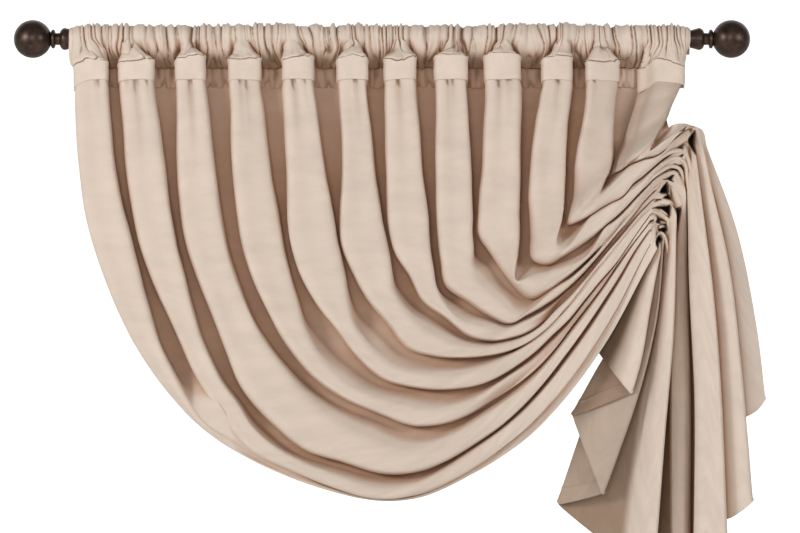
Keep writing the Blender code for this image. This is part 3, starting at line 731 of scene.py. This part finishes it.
# %% Puffs and hollows, in millimetres
Puff = namedtuple("Puff", "x z width height cut")
Hollow = namedtuple("Hollow", "x z depth")
PUFFS = [Puff(*row) for row in (
    ((458, 475, 492, 506, 515, 520, 525, 530), (-215, -203, -194, -192, -195, -203, -221, -241), 8, 4, 0),
    ((458, 474, 489, 501, 511, 517, 520, 523), (-229, -217, -207, -204, -208, -217, -238, -267), 8, 5, 0),
    ((445, 458, 474, 487, 499, 508, 512, 516), (-255, -239, -227, -219, -219, -224, -236, -258), 7, 4, 0),
    ((451, 463, 475, 487, 498, 504, 510, 516), (-255, -244, -236, -231, -229, -238, -253, -274), 8, 5, 0),
    ((489, 494, 500, 504, 506), (-245, -253, -265, -277, -289), 19, 7, 1),
    ((462, 470, 481, 491, 496), (-285, -280, -280, -280, -286), 8, 5, 0),
    ((451, 462, 472, 477, 482, 489), (-280, -268, -256, -248, -244, -245), 6, 4, 0),
    ((463, 474, 486), (-274, -269, -267), 4, 3, 0),
    ((457, 465, 475, 487), (-298, -297, -302, -310), 8, 5, 0),
    ((457, 460, 463, 466), (-361, -340, -323, -315), 9, 5, 0),
    ((465, 470, 477, 482, 485, 486), (-342, -333, -333, -342, -357, -374), 6, 4, 0),
    ((470, 479, 489), (-290, -296, -304), 4, 3, 0),
    ((469, 475, 484), (-325, -321, -321), 5, 3, 0),
)]
HOLLOWS = [Hollow(*row) for row in (
    ((533, 530, 523, 521, 522, 527, 534, 534, 532, 533, 534), (-157, -162, -169, -174, -179, -188, -198,
    -193, -183, -173, -161), 24),
    ((517, 513, 506, 510, 514), (-150, -154, -159, -160, -158), 10),
    ((513, 510, 504, 499, 505, 508, 512, 511), (-180, -185, -188, -190, -190, -193, -192, -187), 14),
    ((513, 509, 504, 509, 511), (-198, -199, -202, -204, -202), 12),
    ((494, 499, 503, 510, 514, 516, 516, 513, 508, 501, 496), (-215, -214, -216, -216, -222, -231, -234,
    -226, -220, -217, -217), 12),
    ((491, 498, 504, 503, 496, 492), (-223, -222, -221, -225, -226, -225), 12),
    ((498, 491, 484, 478, 486, 491, 496, 493, 495), (-231, -235, -239, -241, -241, -243, -245, -241, -237),
    14),
    ((485, 483, 475, 474, 486, 488, 487), (-245, -248, -256, -264, -265, -262, -251), 26),
    ((487, 482, 478, 482, 489, 492, 492, 489), (-265, -270, -273, -274, -274, -275, -271, -267), 20),
    ((474, 467, 464, 469, 475), (-274, -276, -279, -277, -275), 12),
    ((460, 469, 481, 484, 490, 492, 491, 489, 482, 474, 467), (-290, -287, -286, -286, -284, -287, -301,
    -306, -300, -293, -290), 20),
    ((462, 456, 454, 457, 462), (-309, -311, -315, -313, -311), 12),
    ((469, 469, 465, 468, 472, 474, 481, 484, 477, 472), (-303, -308, -313, -316, -315, -310, -312, -313,
    -308, -307), 16),
    ((469, 484, 486, 481, 470), (-320, -316, -327, -332, -329), 14),
    ((470, 467, 465, 466, 469, 471, 477, 476), (-335, -340, -347, -354, -356, -349, -344, -340), 20),
    ((503, 510, 509, 506, 504, 504, 503), (-290, -290, -299, -313, -330, -323, -306), 12),
)]


# %% Hollows in the panel
def depth_inside(x, z, outline):
    """How far inside a closed outline each point lies, negative outside it."""
    nearest, inside = np.ones(x.shape), np.zeros(x.shape, bool)
    for (x0, z0), (x1, z1) in zip(outline, np.roll(outline, -1, axis=0)):
        length = (x1 - x0) ** 2 + (z1 - z0) ** 2
        share = np.clip(((x - x0) * (x1 - x0) + (z - z0) * (z1 - z0)) / length, 0, 1)
        nearest = np.minimum(nearest, np.hypot(x - x0 - share * (x1 - x0), z - z0 - share * (z1 - z0)))
        if z0 != z1:
            inside ^= ((z0 > z) != (z1 > z)) & (x < x0 + (x1 - x0) * (z - z0) / (z1 - z0))
    return np.where(inside, nearest, -nearest)


unlit = np.zeros(panel_grid.shape[:2])
for hollow in HOLLOWS:
    outline = np.stack([hollow.x, hollow.z], axis=1) * MM
    inside = depth_inside(panel_grid[..., 0], panel_grid[..., 2], outline)
    unlit = np.maximum(unlit, ease(inside, -0.0012, 0.0012))
    panel_grid[..., 1] += hollow.depth * MM * ease(inside, -0.0015, 0.0025)
panel = add_sheets("panel_cloth", [(panel_grid, across[0], down)], velvet)
# Painted shadow: the tail's left columns just under the swag's edge are darkened as if the swag shaded them.
unlit = np.maximum(unlit, 0.55 * (1 - ease(column_of, 3.5, 5.5)) * ease(row_share, 1.35, 1.45))
add_values(panel, "unlit", 0.95 * unlit)

# %% [markdown]
# Reverse and shade
#
# Velvet's reverse has no pile and a darker tone, and the tail's zigzag shows it on two strips.
# The same value also paints shade: the tail's parts that lie in shadow under the swag or behind
# other layers take the darker tone as painted shade, so every point has a value for how much of it
# it takes. It also paints shade on the crimps and small wedges below the band, on the last two folds
# near the band and, very lightly, on the middle and right of each front and on all the folds where
# they begin to swing.

# %% Shaded columns: the first and the last, how dark, and how softly it ends
# Columns 10 to 18 and 26 to 34 take the reverse's own tone; the other entries are painted shade where the
# tail lies in shadow under the swag or behind other layers.
SHADES = (
    (-4, 5.6, 0.95, 1.6), (10, 18, 0.8, 0.6), (18, 26, 0.48, 0.6), (26, 34, 0.6, 0.6), (34, 42.6, 0.82, 0.5),
    (52, 58.5, 0.85, 1), (59, 71, 0.38, 1), (72, 77, 0.85, 1),
)
turned = np.zeros(panel_grid.shape[:2])
tail_share = np.clip((np.arange(len(panel_grid)) - TAIL_ROW) / TAIL_ROWS, 0, 1)[:, None]
for left, right, dark, soft in SHADES:
    places = (left - soft, left + soft, right - soft, right + soft)
    turned += dark * np.interp(column_of, places, [0, 1, 1, 0]) * ease(tail_share, 0.0, 0.15)
# Painted shade in the small wedges just below the band at each crimp.
for crimp in CRIMPS:
    wedge = 1 - np.abs(start_x - crimp.start) / (crimp.width * 1.1)
    wedge = np.clip(wedge - below_band / (0.13 * crimp.reach * MM), 0, 1) * (below_band > -0.002)
    turned += 0.9 * ease(wedge, 0.0, 0.5) * on_front
# Painted shade on the last two folds near the band, lightly on the middle and right of each front, on the
# folds where they swing, and along the crimps.
in_fold = column_of % COLUMNS_PER_FOLD
turned += 0.22 * ease(column_of, 78, 88) * (1 - ease(row_share, 0.35, 0.7))
turned += 0.16 * hill(in_fold, 3.3, 0.5) * (1 - ease(row_share, 0.45, 0.6))
turned += 0.10 * hill(in_fold, 1.8, 0.6) * (1 - ease(row_share, 0.3, 0.5))
turned += 0.10 * ease(row_share, 0.30, 0.48) * (1 - ease(row_share, 0.60, 0.75))
turned += 0.5 * crimp_shade
add_values(panel, "turned", turned)

# %% Puffs in front of it
PUFF_STEPS, PUFF_SIDES = 22, 13
near_gather = panel_grid[GATHER_ROW - 30 : TAIL_ROW + 20].reshape(-1, 3)


def puff_grid(puff):
    """A short roll of cloth: rows along its crest line, columns over its back."""
    crest = refine(np.stack([puff.x, puff.z], axis=1)[None] * MM, [6])[0]
    line = spots_on(crest, np.linspace(0, along(crest[None], 1)[0, -1], PUFF_STEPS))
    side = np.gradient(line, axis=0)
    side = np.stack([-side[:, 1], side[:, 0]], axis=1) / np.linalg.norm(side, axis=1, keepdims=True)
    fronts = []
    for x, z in line:
        close = np.hypot(near_gather[:, 0] - x, near_gather[:, 2] - z) < 0.005
        fronts.append(near_gather[close, 1].min() if close.any() else -0.05)
    fronts = np.convolve(np.pad(fronts, 3, mode="edge"), np.ones(7) / 7, mode="valid")
    share = np.linspace(0, 1, PUFF_STEPS)
    swell = 0.25 + 0.75 * ease(share, 0, 0.9) if puff.cut else np.sin(math.pi * (0.12 + 0.76 * share)) ** 0.7
    dive = np.where((share > 0.5) & (puff.cut > 0), 0, np.abs(2 * share - 1) ** 4)
    dive[-1] = 1
    grid = []
    for turn in np.linspace(-1, 1, PUFF_SIDES):
        out = puff.width * MM / 2 * math.sin(turn * math.pi / 2) * swell
        lift = puff.height * MM * math.cos(turn * math.pi / 2) * swell
        depth = fronts - lift + 0.004 + 0.012 * dive
        grid.append(np.stack([line[:, 0] + side[:, 0] * out, depth, line[:, 1] + side[:, 1] * out], axis=1))
    return np.stack(grid, axis=1)


rolls = [puff_grid(puff) for puff in PUFFS]
puffs = add_sheets("ruched_puffs", [(roll, along(roll, 1), along(roll, 0)) for roll in rolls], velvet)

# %% [markdown]
# The heading
#
# Above the band the cloth is a pocket, pushed together on the rod. It hangs on the rod in even
# small gathers, but at the band it has to follow the deep folds. So over each fold's front it
# makes a little tent, which is as wide as the fold below and narrows to its tip on the rod, and
# between the tents it runs back into the recess. The table has one row for each fold: where the
# tent's tip stands on the rod, how much the band's top edge rises at its left, middle and right and
# its lower edge at both corners, with drops as negative values, and how far the tent bulges.

# %% The heading's table, in millimetres
HEAD_NAMES = ("tip", "left", "middle", "right", "low_left", "low_right", "pillow")
HEADS = (
    (-487, -10, 3, -4, -12, 0, 3.5), (-429, -6, -1, 0, -1, -1, 5), (-330, -4, 6, 9, 1, 0, 3),
    (-239, 4, 0, 8, -1, 1, 3), (-154, -1, 3, 9, 0, 0, 3.5), (-50, -2, 8, 0, -2, 0, 4),
    (31, 5, -2, 9, -2, 2, 5), (120, 5, 9, 6, 0, 0, 1.5), (207, 6, 13, 6, 0, 1, 1), (308, 0, 6, 7, -2, -1, 3),
    (374, -2, -3, 4, -2, 1, 5), (462, -8, 5, -10, -14, -7, 2),
)
SEAM_COLUMNS, SEAM_FINE = 120, 8
POCKET_LEFT, POCKET_RIGHT = -0.5342, 0.5265
POCKET_RADIUS = 0.0168
POCKET_BACK, POCKET_BACK_END = 0.0100, -0.0270
BAND_HEIGHT = 0.034
BAND_STAND_OFF = 0.0012
CORNER_GAP = 0.012


# %% The seam row, in even steps along the cloth
def even_columns(row, steps):
    """The row again with equal steps in every fold, and how far along the cloth each point is."""
    marks = along(row[None], 1)[0][:: (len(row) - 1) // len(FOLDS)]
    spans = [np.linspace(a, b, steps, endpoint=False) for a, b in zip(marks, marks[1:])]
    places = np.concatenate(spans + [marks[-1:]])
    return spots_on(row, places), places


def fold_marks(row, place):
    """How far along the cloth a given place of every fold's section is."""
    return along(row[None], 1)[0][place * SEAM_FINE :: len(SECTION_COLUMNS) * SEAM_FINE][: len(FOLDS)]


def along_heads(left, middle, right):
    """A value for every seam column from the heads' values at corners and middles, 0 in the recess."""
    places, values = [], []
    for k in range(len(HEADS)):
        corner, other = left_corners[k], right_corners[k]
        places += [corner - CORNER_GAP, corner, middles[k], other, other + CORNER_GAP]
        values += [0.0, left[k], middle[k], right[k], 0.0]
    order = np.argsort(places)
    return np.interp(seam_places, np.array(places)[order], np.array(values)[order])


seam_fine = refine(swag[:1], [SEAM_FINE])[0]
seam, seam_places = even_columns(seam_fine, SEAM_COLUMNS)
left_corners, middles, right_corners = (fold_marks(seam_fine, place) for place in (0, 3, 6))
seam_side = np.gradient(seam, axis=0) * (1, 1, 0)
seam_out = np.stack([seam_side[:, 1], -seam_side[:, 0], 0 * seam_side[:, 0]], axis=1)
seam_out /= np.linalg.norm(seam_out, axis=1, keepdims=True)
print("cloth along the seam:", round(seam_places[-1], 3), "m")

head = dict(zip(HEAD_NAMES, np.array(HEADS).T * MM))
top_lift = along_heads(head["left"], head["middle"], head["right"])
top_lift = top_lift + 0.0016 * ripples(seam_places / 0.007, 3, 61)
top_lift = top_lift + 0.0009 * ripples(seam_places / 0.003, 8, 63)
for corner in (*left_corners, *right_corners):
    top_lift = top_lift + 0.0034 * hill(seam_places, corner, 0.0035)
low_drop = along_heads(head["low_left"], 0 * head["tip"], head["low_right"])
low_drop = low_drop + 0.0006 * ripples(seam_places / 0.012, 5, 62)
pillow = along_heads(*[head["pillow"]] * 3)
over_front = along_heads(*[np.ones(len(HEADS))] * 3)

# %% [markdown]
# The pocket is one sheet from the seam up over the rod and down behind it. Its gathers are ridges
# across that sheet, from smooth random values with a fixed seed. Their square root makes round
# ridges with narrow creases between them, as in gathered cloth, and the creases get painted shade,
# as do the tents' side creases and the pocket low in each recess.

# %% Gathers
def gathers(x, y, width, length, seed):
    """Rounded ridges with narrow creases that wander, join and end, 0 to 1."""
    return np.abs(ripples(x / width, y / length, seed)) ** 0.5


# %% The pocket's smooth sheet
TIP_HALF = 0.0065
TENT_ROWS, RING_ROWS = 34, 24
RING_TURN = 246
RING_RADIUS = POCKET_RADIUS + 0.001
CLOTH_GAP = 0.0006

corner_places = np.sort(np.concatenate([left_corners[1:], right_corners[:-1]]))
corner_tips = np.sort(np.concatenate([head["tip"][1:] - TIP_HALF, head["tip"][:-1] + TIP_HALF]))
ring_places = np.concatenate([[0], corner_places, [seam_places[-1]]])
ring_x = np.interp(seam_places, ring_places, [POCKET_LEFT, *corner_tips, POCKET_RIGHT])


def ring_line(y, z):
    """The line across the pocket at the given depth and height."""
    return np.stack([ring_x, 0 * ring_x + y, 0 * ring_x + z], axis=1)


base = seam + np.outer(top_lift + BAND_HEIGHT + 0.0005, (0, 0, 1)) + seam_out * CLOTH_GAP
slope_base = seam_out * (pillow * 7)[:, None] + (0, 0, 0.006)
slope_base = slope_base + np.outer(1.5 * (ring_x - base[:, 0]), (1, 0, 0))
slope_ring = np.array((0, 0, 0.055))
shares = np.linspace(0, 1, TENT_ROWS, endpoint=False)
tent = [hermite(base, ring_line(-RING_RADIUS, 0), slope_base, slope_ring, share) for share in shares]
angles = np.radians(np.linspace(0, RING_TURN, RING_ROWS))
ring = [ring_line(-RING_RADIUS * math.cos(angle), RING_RADIUS * math.sin(angle)) for angle in angles]
back_end = ring_line(POCKET_BACK, POCKET_BACK_END)
hidden = [seam + seam_out * CLOTH_GAP + (0, 0, height) for height in (0.0225, 0.029)]
pocket_grid = np.stack(hidden + tent + ring + [mix(ring[-1], back_end, 0.5), back_end])

# %% The pocket's gathers and creases
GATHER_DEPTH, TOP_GATHER_DEPTH = 0.0105, 0.0020
CREASE_DEPTH = 0.009

row = np.arange(len(pocket_grid))[:, None] - len(hidden)
up = np.clip(row / TENT_ROWS, 0, 1)
over_top = np.clip((row - TENT_ROWS) / RING_ROWS, 0, 1)
x = np.broadcast_to(ring_x, pocket_grid.shape[:2])
upwards = 0.035 * up + 0.022 * over_top
wander = 0.012 * ripples(x / 0.045 + 40, upwards / 0.028 + 9, 3)
wander = wander + 0.0035 * ripples(x / 0.014, upwards / 0.013, 7)
ridge = 0.70 * gathers(x + wander, upwards, 0.0075, 0.034, 11)
ridge = ridge + 0.42 * gathers(x + wander, upwards, 0.0042, 0.040, 21)
ridge = np.clip(ridge * (1 + 0.25 * ripples(x / 0.04, upwards / 0.02, 5)), 0, 1)
calm = 1 - 0.62 * over_front * (1 - ease(up, 0.30, 0.90))
top = np.sin(np.clip(over_top * math.radians(RING_TURN), 0, math.pi))
ends = ease(x, POCKET_LEFT, POCKET_LEFT + 0.03) * (1 - ease(x, POCKET_RIGHT - 0.03, POCKET_RIGHT))
size = (GATHER_DEPTH * ease(up, 0.0, 0.20) + TOP_GATHER_DEPTH * top) * calm * mix(0.3, 1.0, ends)
tip_bulge = 0.0004 * over_front * up * top
creases = np.zeros(len(seam_places))
for place in np.concatenate([left_corners[1:] - 0.010, right_corners[:-1] + 0.010]):
    creases += hill(seam_places, place, 0.006)
creases = CREASE_DEPTH * creases * np.sin(math.pi * np.clip(up * 0.9 + 0.05, 0, 1)) * (1 - over_top)
push = size * ridge + tip_bulge - creases - 0.0008
pocket_grid = pocket_grid - normals_of(pocket_grid) * push[..., None]
pocket = add_sheets("pocket_cloth", [(pocket_grid[::-1], seam_places, along(pocket_grid, 0)[::-1])], velvet)
# Painted shade: darker low in each recess, in the gathers' creases and in the tents' side creases.
shade = 0.80 * (1 - over_front) * ease(-pocket_grid[..., 2], 0.014, 0.040)
shade = shade + 1.4 * (1 - ease(ridge, 0.13, 0.50)) * calm * ends + 45 * creases * (1 - 0.5 * over_front)
add_values(pocket, "turned", shade[::-1])

# %% [markdown]
# The band is a plain strip that follows the seam in and out of the folds. Its top edge stands up
# a little at the corners of each front, and in the recess it is puckered with the cloth below it.

# %% The band
BAND_ROWS = 22
shares = np.linspace(0, 1, BAND_ROWS)[:, None]
height = mix(low_drop, BAND_HEIGHT + top_lift, shares)
swell = 0.0008 * np.sin(math.pi * shares) ** 0.5
waves = 0.0006 * ripples(seam_places / 0.018 + shares * 0.3, shares * 2.2 + 3, 31)
puckered = (1 - over_front) * ripples(seam_places / 0.0055, shares * 1.3, 32)
waves = waves + 0.0022 * puckered
lip = 0.0016 * hill(1 - shares, 0, 0.10) * over_front
out = BAND_STAND_OFF + swell + waves + lip
band_grid = seam + height[..., None] * np.array((0, 0, 1)) + seam_out * out[..., None]
lower_turn = band_grid[0] - seam_out * 0.0018 + (0, 0, 0.0004)
upper_turn = band_grid[-1] - seam_out * 0.0016 + (0, 0, 0.0002)
band_grid = np.concatenate([[lower_turn], band_grid, [upper_turn]])
band = add_sheets("band_cloth", [(band_grid[::-1], seam_places, along(band_grid, 0)[::-1])], velvet)
# Painted shade in the valleys of the band's puckers in the recess.
shade = 0.65 * ease(-puckered, 0.0, 0.8)
add_values(band, "turned", np.concatenate([shade[:1], shade, shade[-1:]])[::-1])

# %% [markdown]
# Stitches along the hem
#
# The hem is turned back by 28 mm and sewn down. Stitches are laid only where the tail's zigzag
# turns over to the reverse, since the pile hides them on the face. They sink into the cloth, so
# little of each one shows. They all repeat one small stitch, so they are laid along the hem line
# with Geometry Nodes, and the result becomes a plain mesh.

# %% The hem line
SEWN_ROW = len(panel_grid) - len(HEM_ROWS) + HEM_ROWS.index(28)
STITCH_STANDS_BACK = 0.0006
sewn_row = panel_grid[SEWN_ROW] + normals_of(panel_grid)[SEWN_ROW] * STITCH_STANDS_BACK
line = bpy.data.meshes.new("hem_line")
steps = [(k, k + 1) for k in range(len(sewn_row) - 1) if reversed_here[k] > 0.5]
line.from_pydata(sewn_row.tolist(), steps, [])
hem_stitches = add_object("hem_stitches", line)


# %% The stitches' node tree
def stitch_tree(material):
    tree = bpy.data.node_groups.new("stitches", "GeometryNodeTree")
    sockets = tree.interface
    sockets.new_socket("Line", in_out="INPUT", socket_type="NodeSocketGeometry")
    sizes = {}
    for name in ("Stitch pitch", "Stitch length", "Thread radius"):
        sizes[name] = sockets.new_socket(name, in_out="INPUT", socket_type="NodeSocketFloat").identifier
    sockets.new_socket("Stitches", in_out="OUTPUT", socket_type="NodeSocketGeometry")
    start, end = add_node(tree, "NodeGroupInput"), add_node(tree, "NodeGroupOutput")
    to_curve = add_node(tree, "GeometryNodeMeshToCurve")
    steps = add_node(tree, "GeometryNodeResampleCurve", mode="LENGTH")
    tangent = add_node(tree, "GeometryNodeInputTangent")
    turn = add_node(tree, "FunctionNodeAlignRotationToVector", axis="Z")
    stitch = add_node(tree, "GeometryNodeMeshCylinder", Vertices=6)
    place = add_node(tree, "GeometryNodeInstanceOnPoints")
    real = add_node(tree, "GeometryNodeRealizeInstances")
    paint = add_node(tree, "GeometryNodeSetMaterial", Material=material)
    wire(
        tree,
        (start, "Line", to_curve, "Mesh"), (to_curve, "Curve", steps, "Curve"),
        (start, "Stitch pitch", steps, "Length"), (steps, "Curve", place, "Points"),
        (tangent, "Tangent", turn, "Vector"), (turn, "Rotation", place, "Rotation"),
        (start, "Stitch length", stitch, "Depth"), (start, "Thread radius", stitch, "Radius"),
        (stitch, "Mesh", place, "Instance"), (place, "Instances", real, "Geometry"),
        (real, "Geometry", paint, "Geometry"), (paint, "Geometry", end, "Stitches"),
    )
    return tree, sizes


# %% The stitches
sewing = hem_stitches.modifiers.new("sewing", "NODES")
sewing.node_group, sizes_of = stitch_tree(velvet)
for name, value in (("Stitch pitch", 0.0050), ("Stitch length", 0.0036), ("Thread radius", 0.0005)):
    sewing[sizes_of[name]] = value
sewn = with_modifiers(hem_stitches)
hem_stitches.modifiers.remove(sewing)
hem_stitches.data = sewn
sewn.shade_smooth()
print("stitches:", len(sewn.polygons) // 8)

# %% [markdown]
# Bronze
#
# The rod and its ball finials are dark oil-rubbed bronze: a satin metal, nearly black, with
# brown showing where hands have rubbed it.


# %% Bronze
def make_bronze():
    material, tree, shader = new_material("bronze", Metallic=0.75)
    place = add_node(tree, "ShaderNodeTexCoord")
    rubbed = add_node(tree, "ShaderNodeTexNoise", Scale=55.0, Detail=6.0, Roughness=0.65)
    tones = colour_ramp(tree, ((0.35, (0.035, 0.022, 0.018)), (0.72, (0.11, 0.065, 0.045))))
    satin = add_node(tree, "ShaderNodeMapRange", To_Min=0.28, To_Max=0.5)
    wire(
        tree,
        (place, "Object", rubbed, "Vector"), (rubbed, "Fac", tones, "Fac"), (rubbed, "Fac", satin, "Value"),
        (tones, "Color", shader, "Base Color"), (satin, "Result", shader, "Roughness"),
    )
    return material


bronze = make_bronze()

# %% [markdown]
# Rod and finials
#
# The finials are turned, so each is an outline spun round the rod's axis with the Screw
# modifier. The collar is a socket that slips over the rod's end. The rod is made the same way.
# The tables give heights from the rod's end and radii, in millimetres.

# %% Rod and finials
ROD_RADIUS = 0.0125
ROD_HALF_LENGTH = 0.5335
FINIAL_GAP = 0.0004
SOCKET_DEPTH, SOCKET_RADIUS = 7, 12.8
FINIAL_COLLAR = ((-7, 15.2), (-3, 16), (2, 17.4), (7, 18.8), (10, 18.7), (13.5, 16.8), (16, 13.5), (17, 10.5))
FINIAL_RING = ((24, 10), (25.5, 14.5), (28, 16.4), (31, 14.8), (32.5, 11.2))
BALL_CENTRE, BALL_RADIUS = 63.3, 32.5
SPIN_STEPS = 96
MERGE_BELOW = 0.00005


def spin(name, outline, turn):
    """A solid turned from its outline, (radius, height) from top to bottom, about the rod."""
    mesh = bpy.data.meshes.new(name)
    mesh.from_pydata([(r, 0, z) for r, z in outline], [(k, k + 1) for k in range(len(outline) - 1)], [])
    source = add_object(name + "_outline", mesh)
    screw = source.modifiers.new("turned", "SCREW")
    screw.steps = screw.render_steps = SPIN_STEPS
    screw.use_merge_vertices = True
    screw.merge_threshold = MERGE_BELOW
    result = with_modifiers(source)
    bpy.data.objects.remove(source)
    result.transform(Matrix.Rotation(math.radians(90 * turn), 4, "Y"))
    result.shade_smooth()
    result.set_sharp_from_angle(angle=math.radians(50))
    result.materials.clear()
    result.materials.append(bronze)
    return add_object(name, result)


def finial_outline():
    low = math.asin(FINIAL_RING[-1][1] / BALL_RADIUS)
    angles = np.linspace(0, math.pi - low, 28)
    ball = [(BALL_RADIUS * math.sin(a), BALL_CENTRE + BALL_RADIUS * math.cos(a)) for a in angles]
    smooth = []
    for profile in (FINIAL_RING[::-1], FINIAL_COLLAR[::-1]):
        shares = np.linspace(0, 1, 6 * (len(profile) - 1) + 1)
        smooth += [(radius, height) for height, radius in curve_at(profile, shares)]
    outline = ball + smooth[1:] + [(SOCKET_RADIUS, -SOCKET_DEPTH), (SOCKET_RADIUS, 0.0), (0.0, 0.0)]
    start = (ROD_HALF_LENGTH + FINIAL_GAP) / MM
    return [(max(r, 0) * MM, (z + start) * MM) for r, z in outline]


rod_outline = [(0, 1), (ROD_RADIUS, 1), (ROD_RADIUS, -1), (0, -1)]
rod_outline = [(radius, end * ROD_HALF_LENGTH) for radius, end in rod_outline]
hardware = {
    "finial_left": spin("finial_left_turned", finial_outline(), -1),
    "finial_right": spin("finial_right_turned", finial_outline(), 1),
    "rod": spin("rod_tube", rod_outline, 1),
}

# %% [markdown]
# Light and floor
#
# Softboxes in front, the strongest at the upper left as in the photo, and a white backdrop. It
# stands so far back that the curtain can be looked at from behind as well.


# %% Studio
def add_light(name, place, size, watts, target=(0, 0, -0.4)):
    lamp = bpy.data.lights.new(name, "AREA")
    lamp.shape, lamp.size, lamp.energy = "DISK", size, watts
    light = add_object(name, lamp)
    light.location = place
    light.rotation_euler = (Vector(target) - Vector(place)).to_track_quat("-Z", "Y").to_euler()


add_light("key", (-3.2, -2.8, 0.7), 1.2, 86)
add_light("fill", (3.2, -2.8, 0.5), 1.2, 50)
add_light("front", (-0.4, -4.5, 0.4), 1.6, 44)

world = bpy.data.worlds.new("studio")
world.use_nodes = True
set_values(world.node_tree.nodes["Background"], Color=(1, 1, 1, 1), Strength=0.18)
bpy.context.scene.world = world
bpy.context.scene.view_settings.view_transform = "Standard"

# %% Floor and backdrop
FLOOR_HEIGHT = -2.0
HALF = 30.0
BACK = 18.0


def add_plane(name, corners, paint, glow):
    pale = (0.9, 0.9, 0.9, 1)
    material, _, shader = new_material(paint, Base_Color=pale, Roughness=0.9, Emission_Strength=glow)
    shader.inputs["Emission Color"].default_value = (1, 1, 1, 1)
    mesh = bpy.data.meshes.new(name)
    mesh.from_pydata(corners, [], [(0, 1, 2, 3)])
    mesh.materials.append(material)
    add_object(name, mesh)


floor = [(x, y, FLOOR_HEIGHT) for x, y in ((-HALF, -HALF), (HALF, -HALF), (HALF, HALF), (-HALF, HALF))]
wall = [(x, BACK, z) for x, z in ((-HALF, FLOOR_HEIGHT), (HALF, FLOOR_HEIGHT), (HALF, HALF), (-HALF, HALF))]
add_plane("floor", floor, "pale_floor", glow=0.0)
add_plane("backdrop", wall, "white_paper", glow=0.9)

# %% Where the pieces belong
for piece in (puffs, hem_stitches):
    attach(piece, "root")
for piece, node in ((panel, "panel"), (pocket, "pocket"), (band, "band")):
    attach(piece, "root")
    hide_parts(node)
for node, piece in hardware.items():
    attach(piece, "root")
    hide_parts(node)
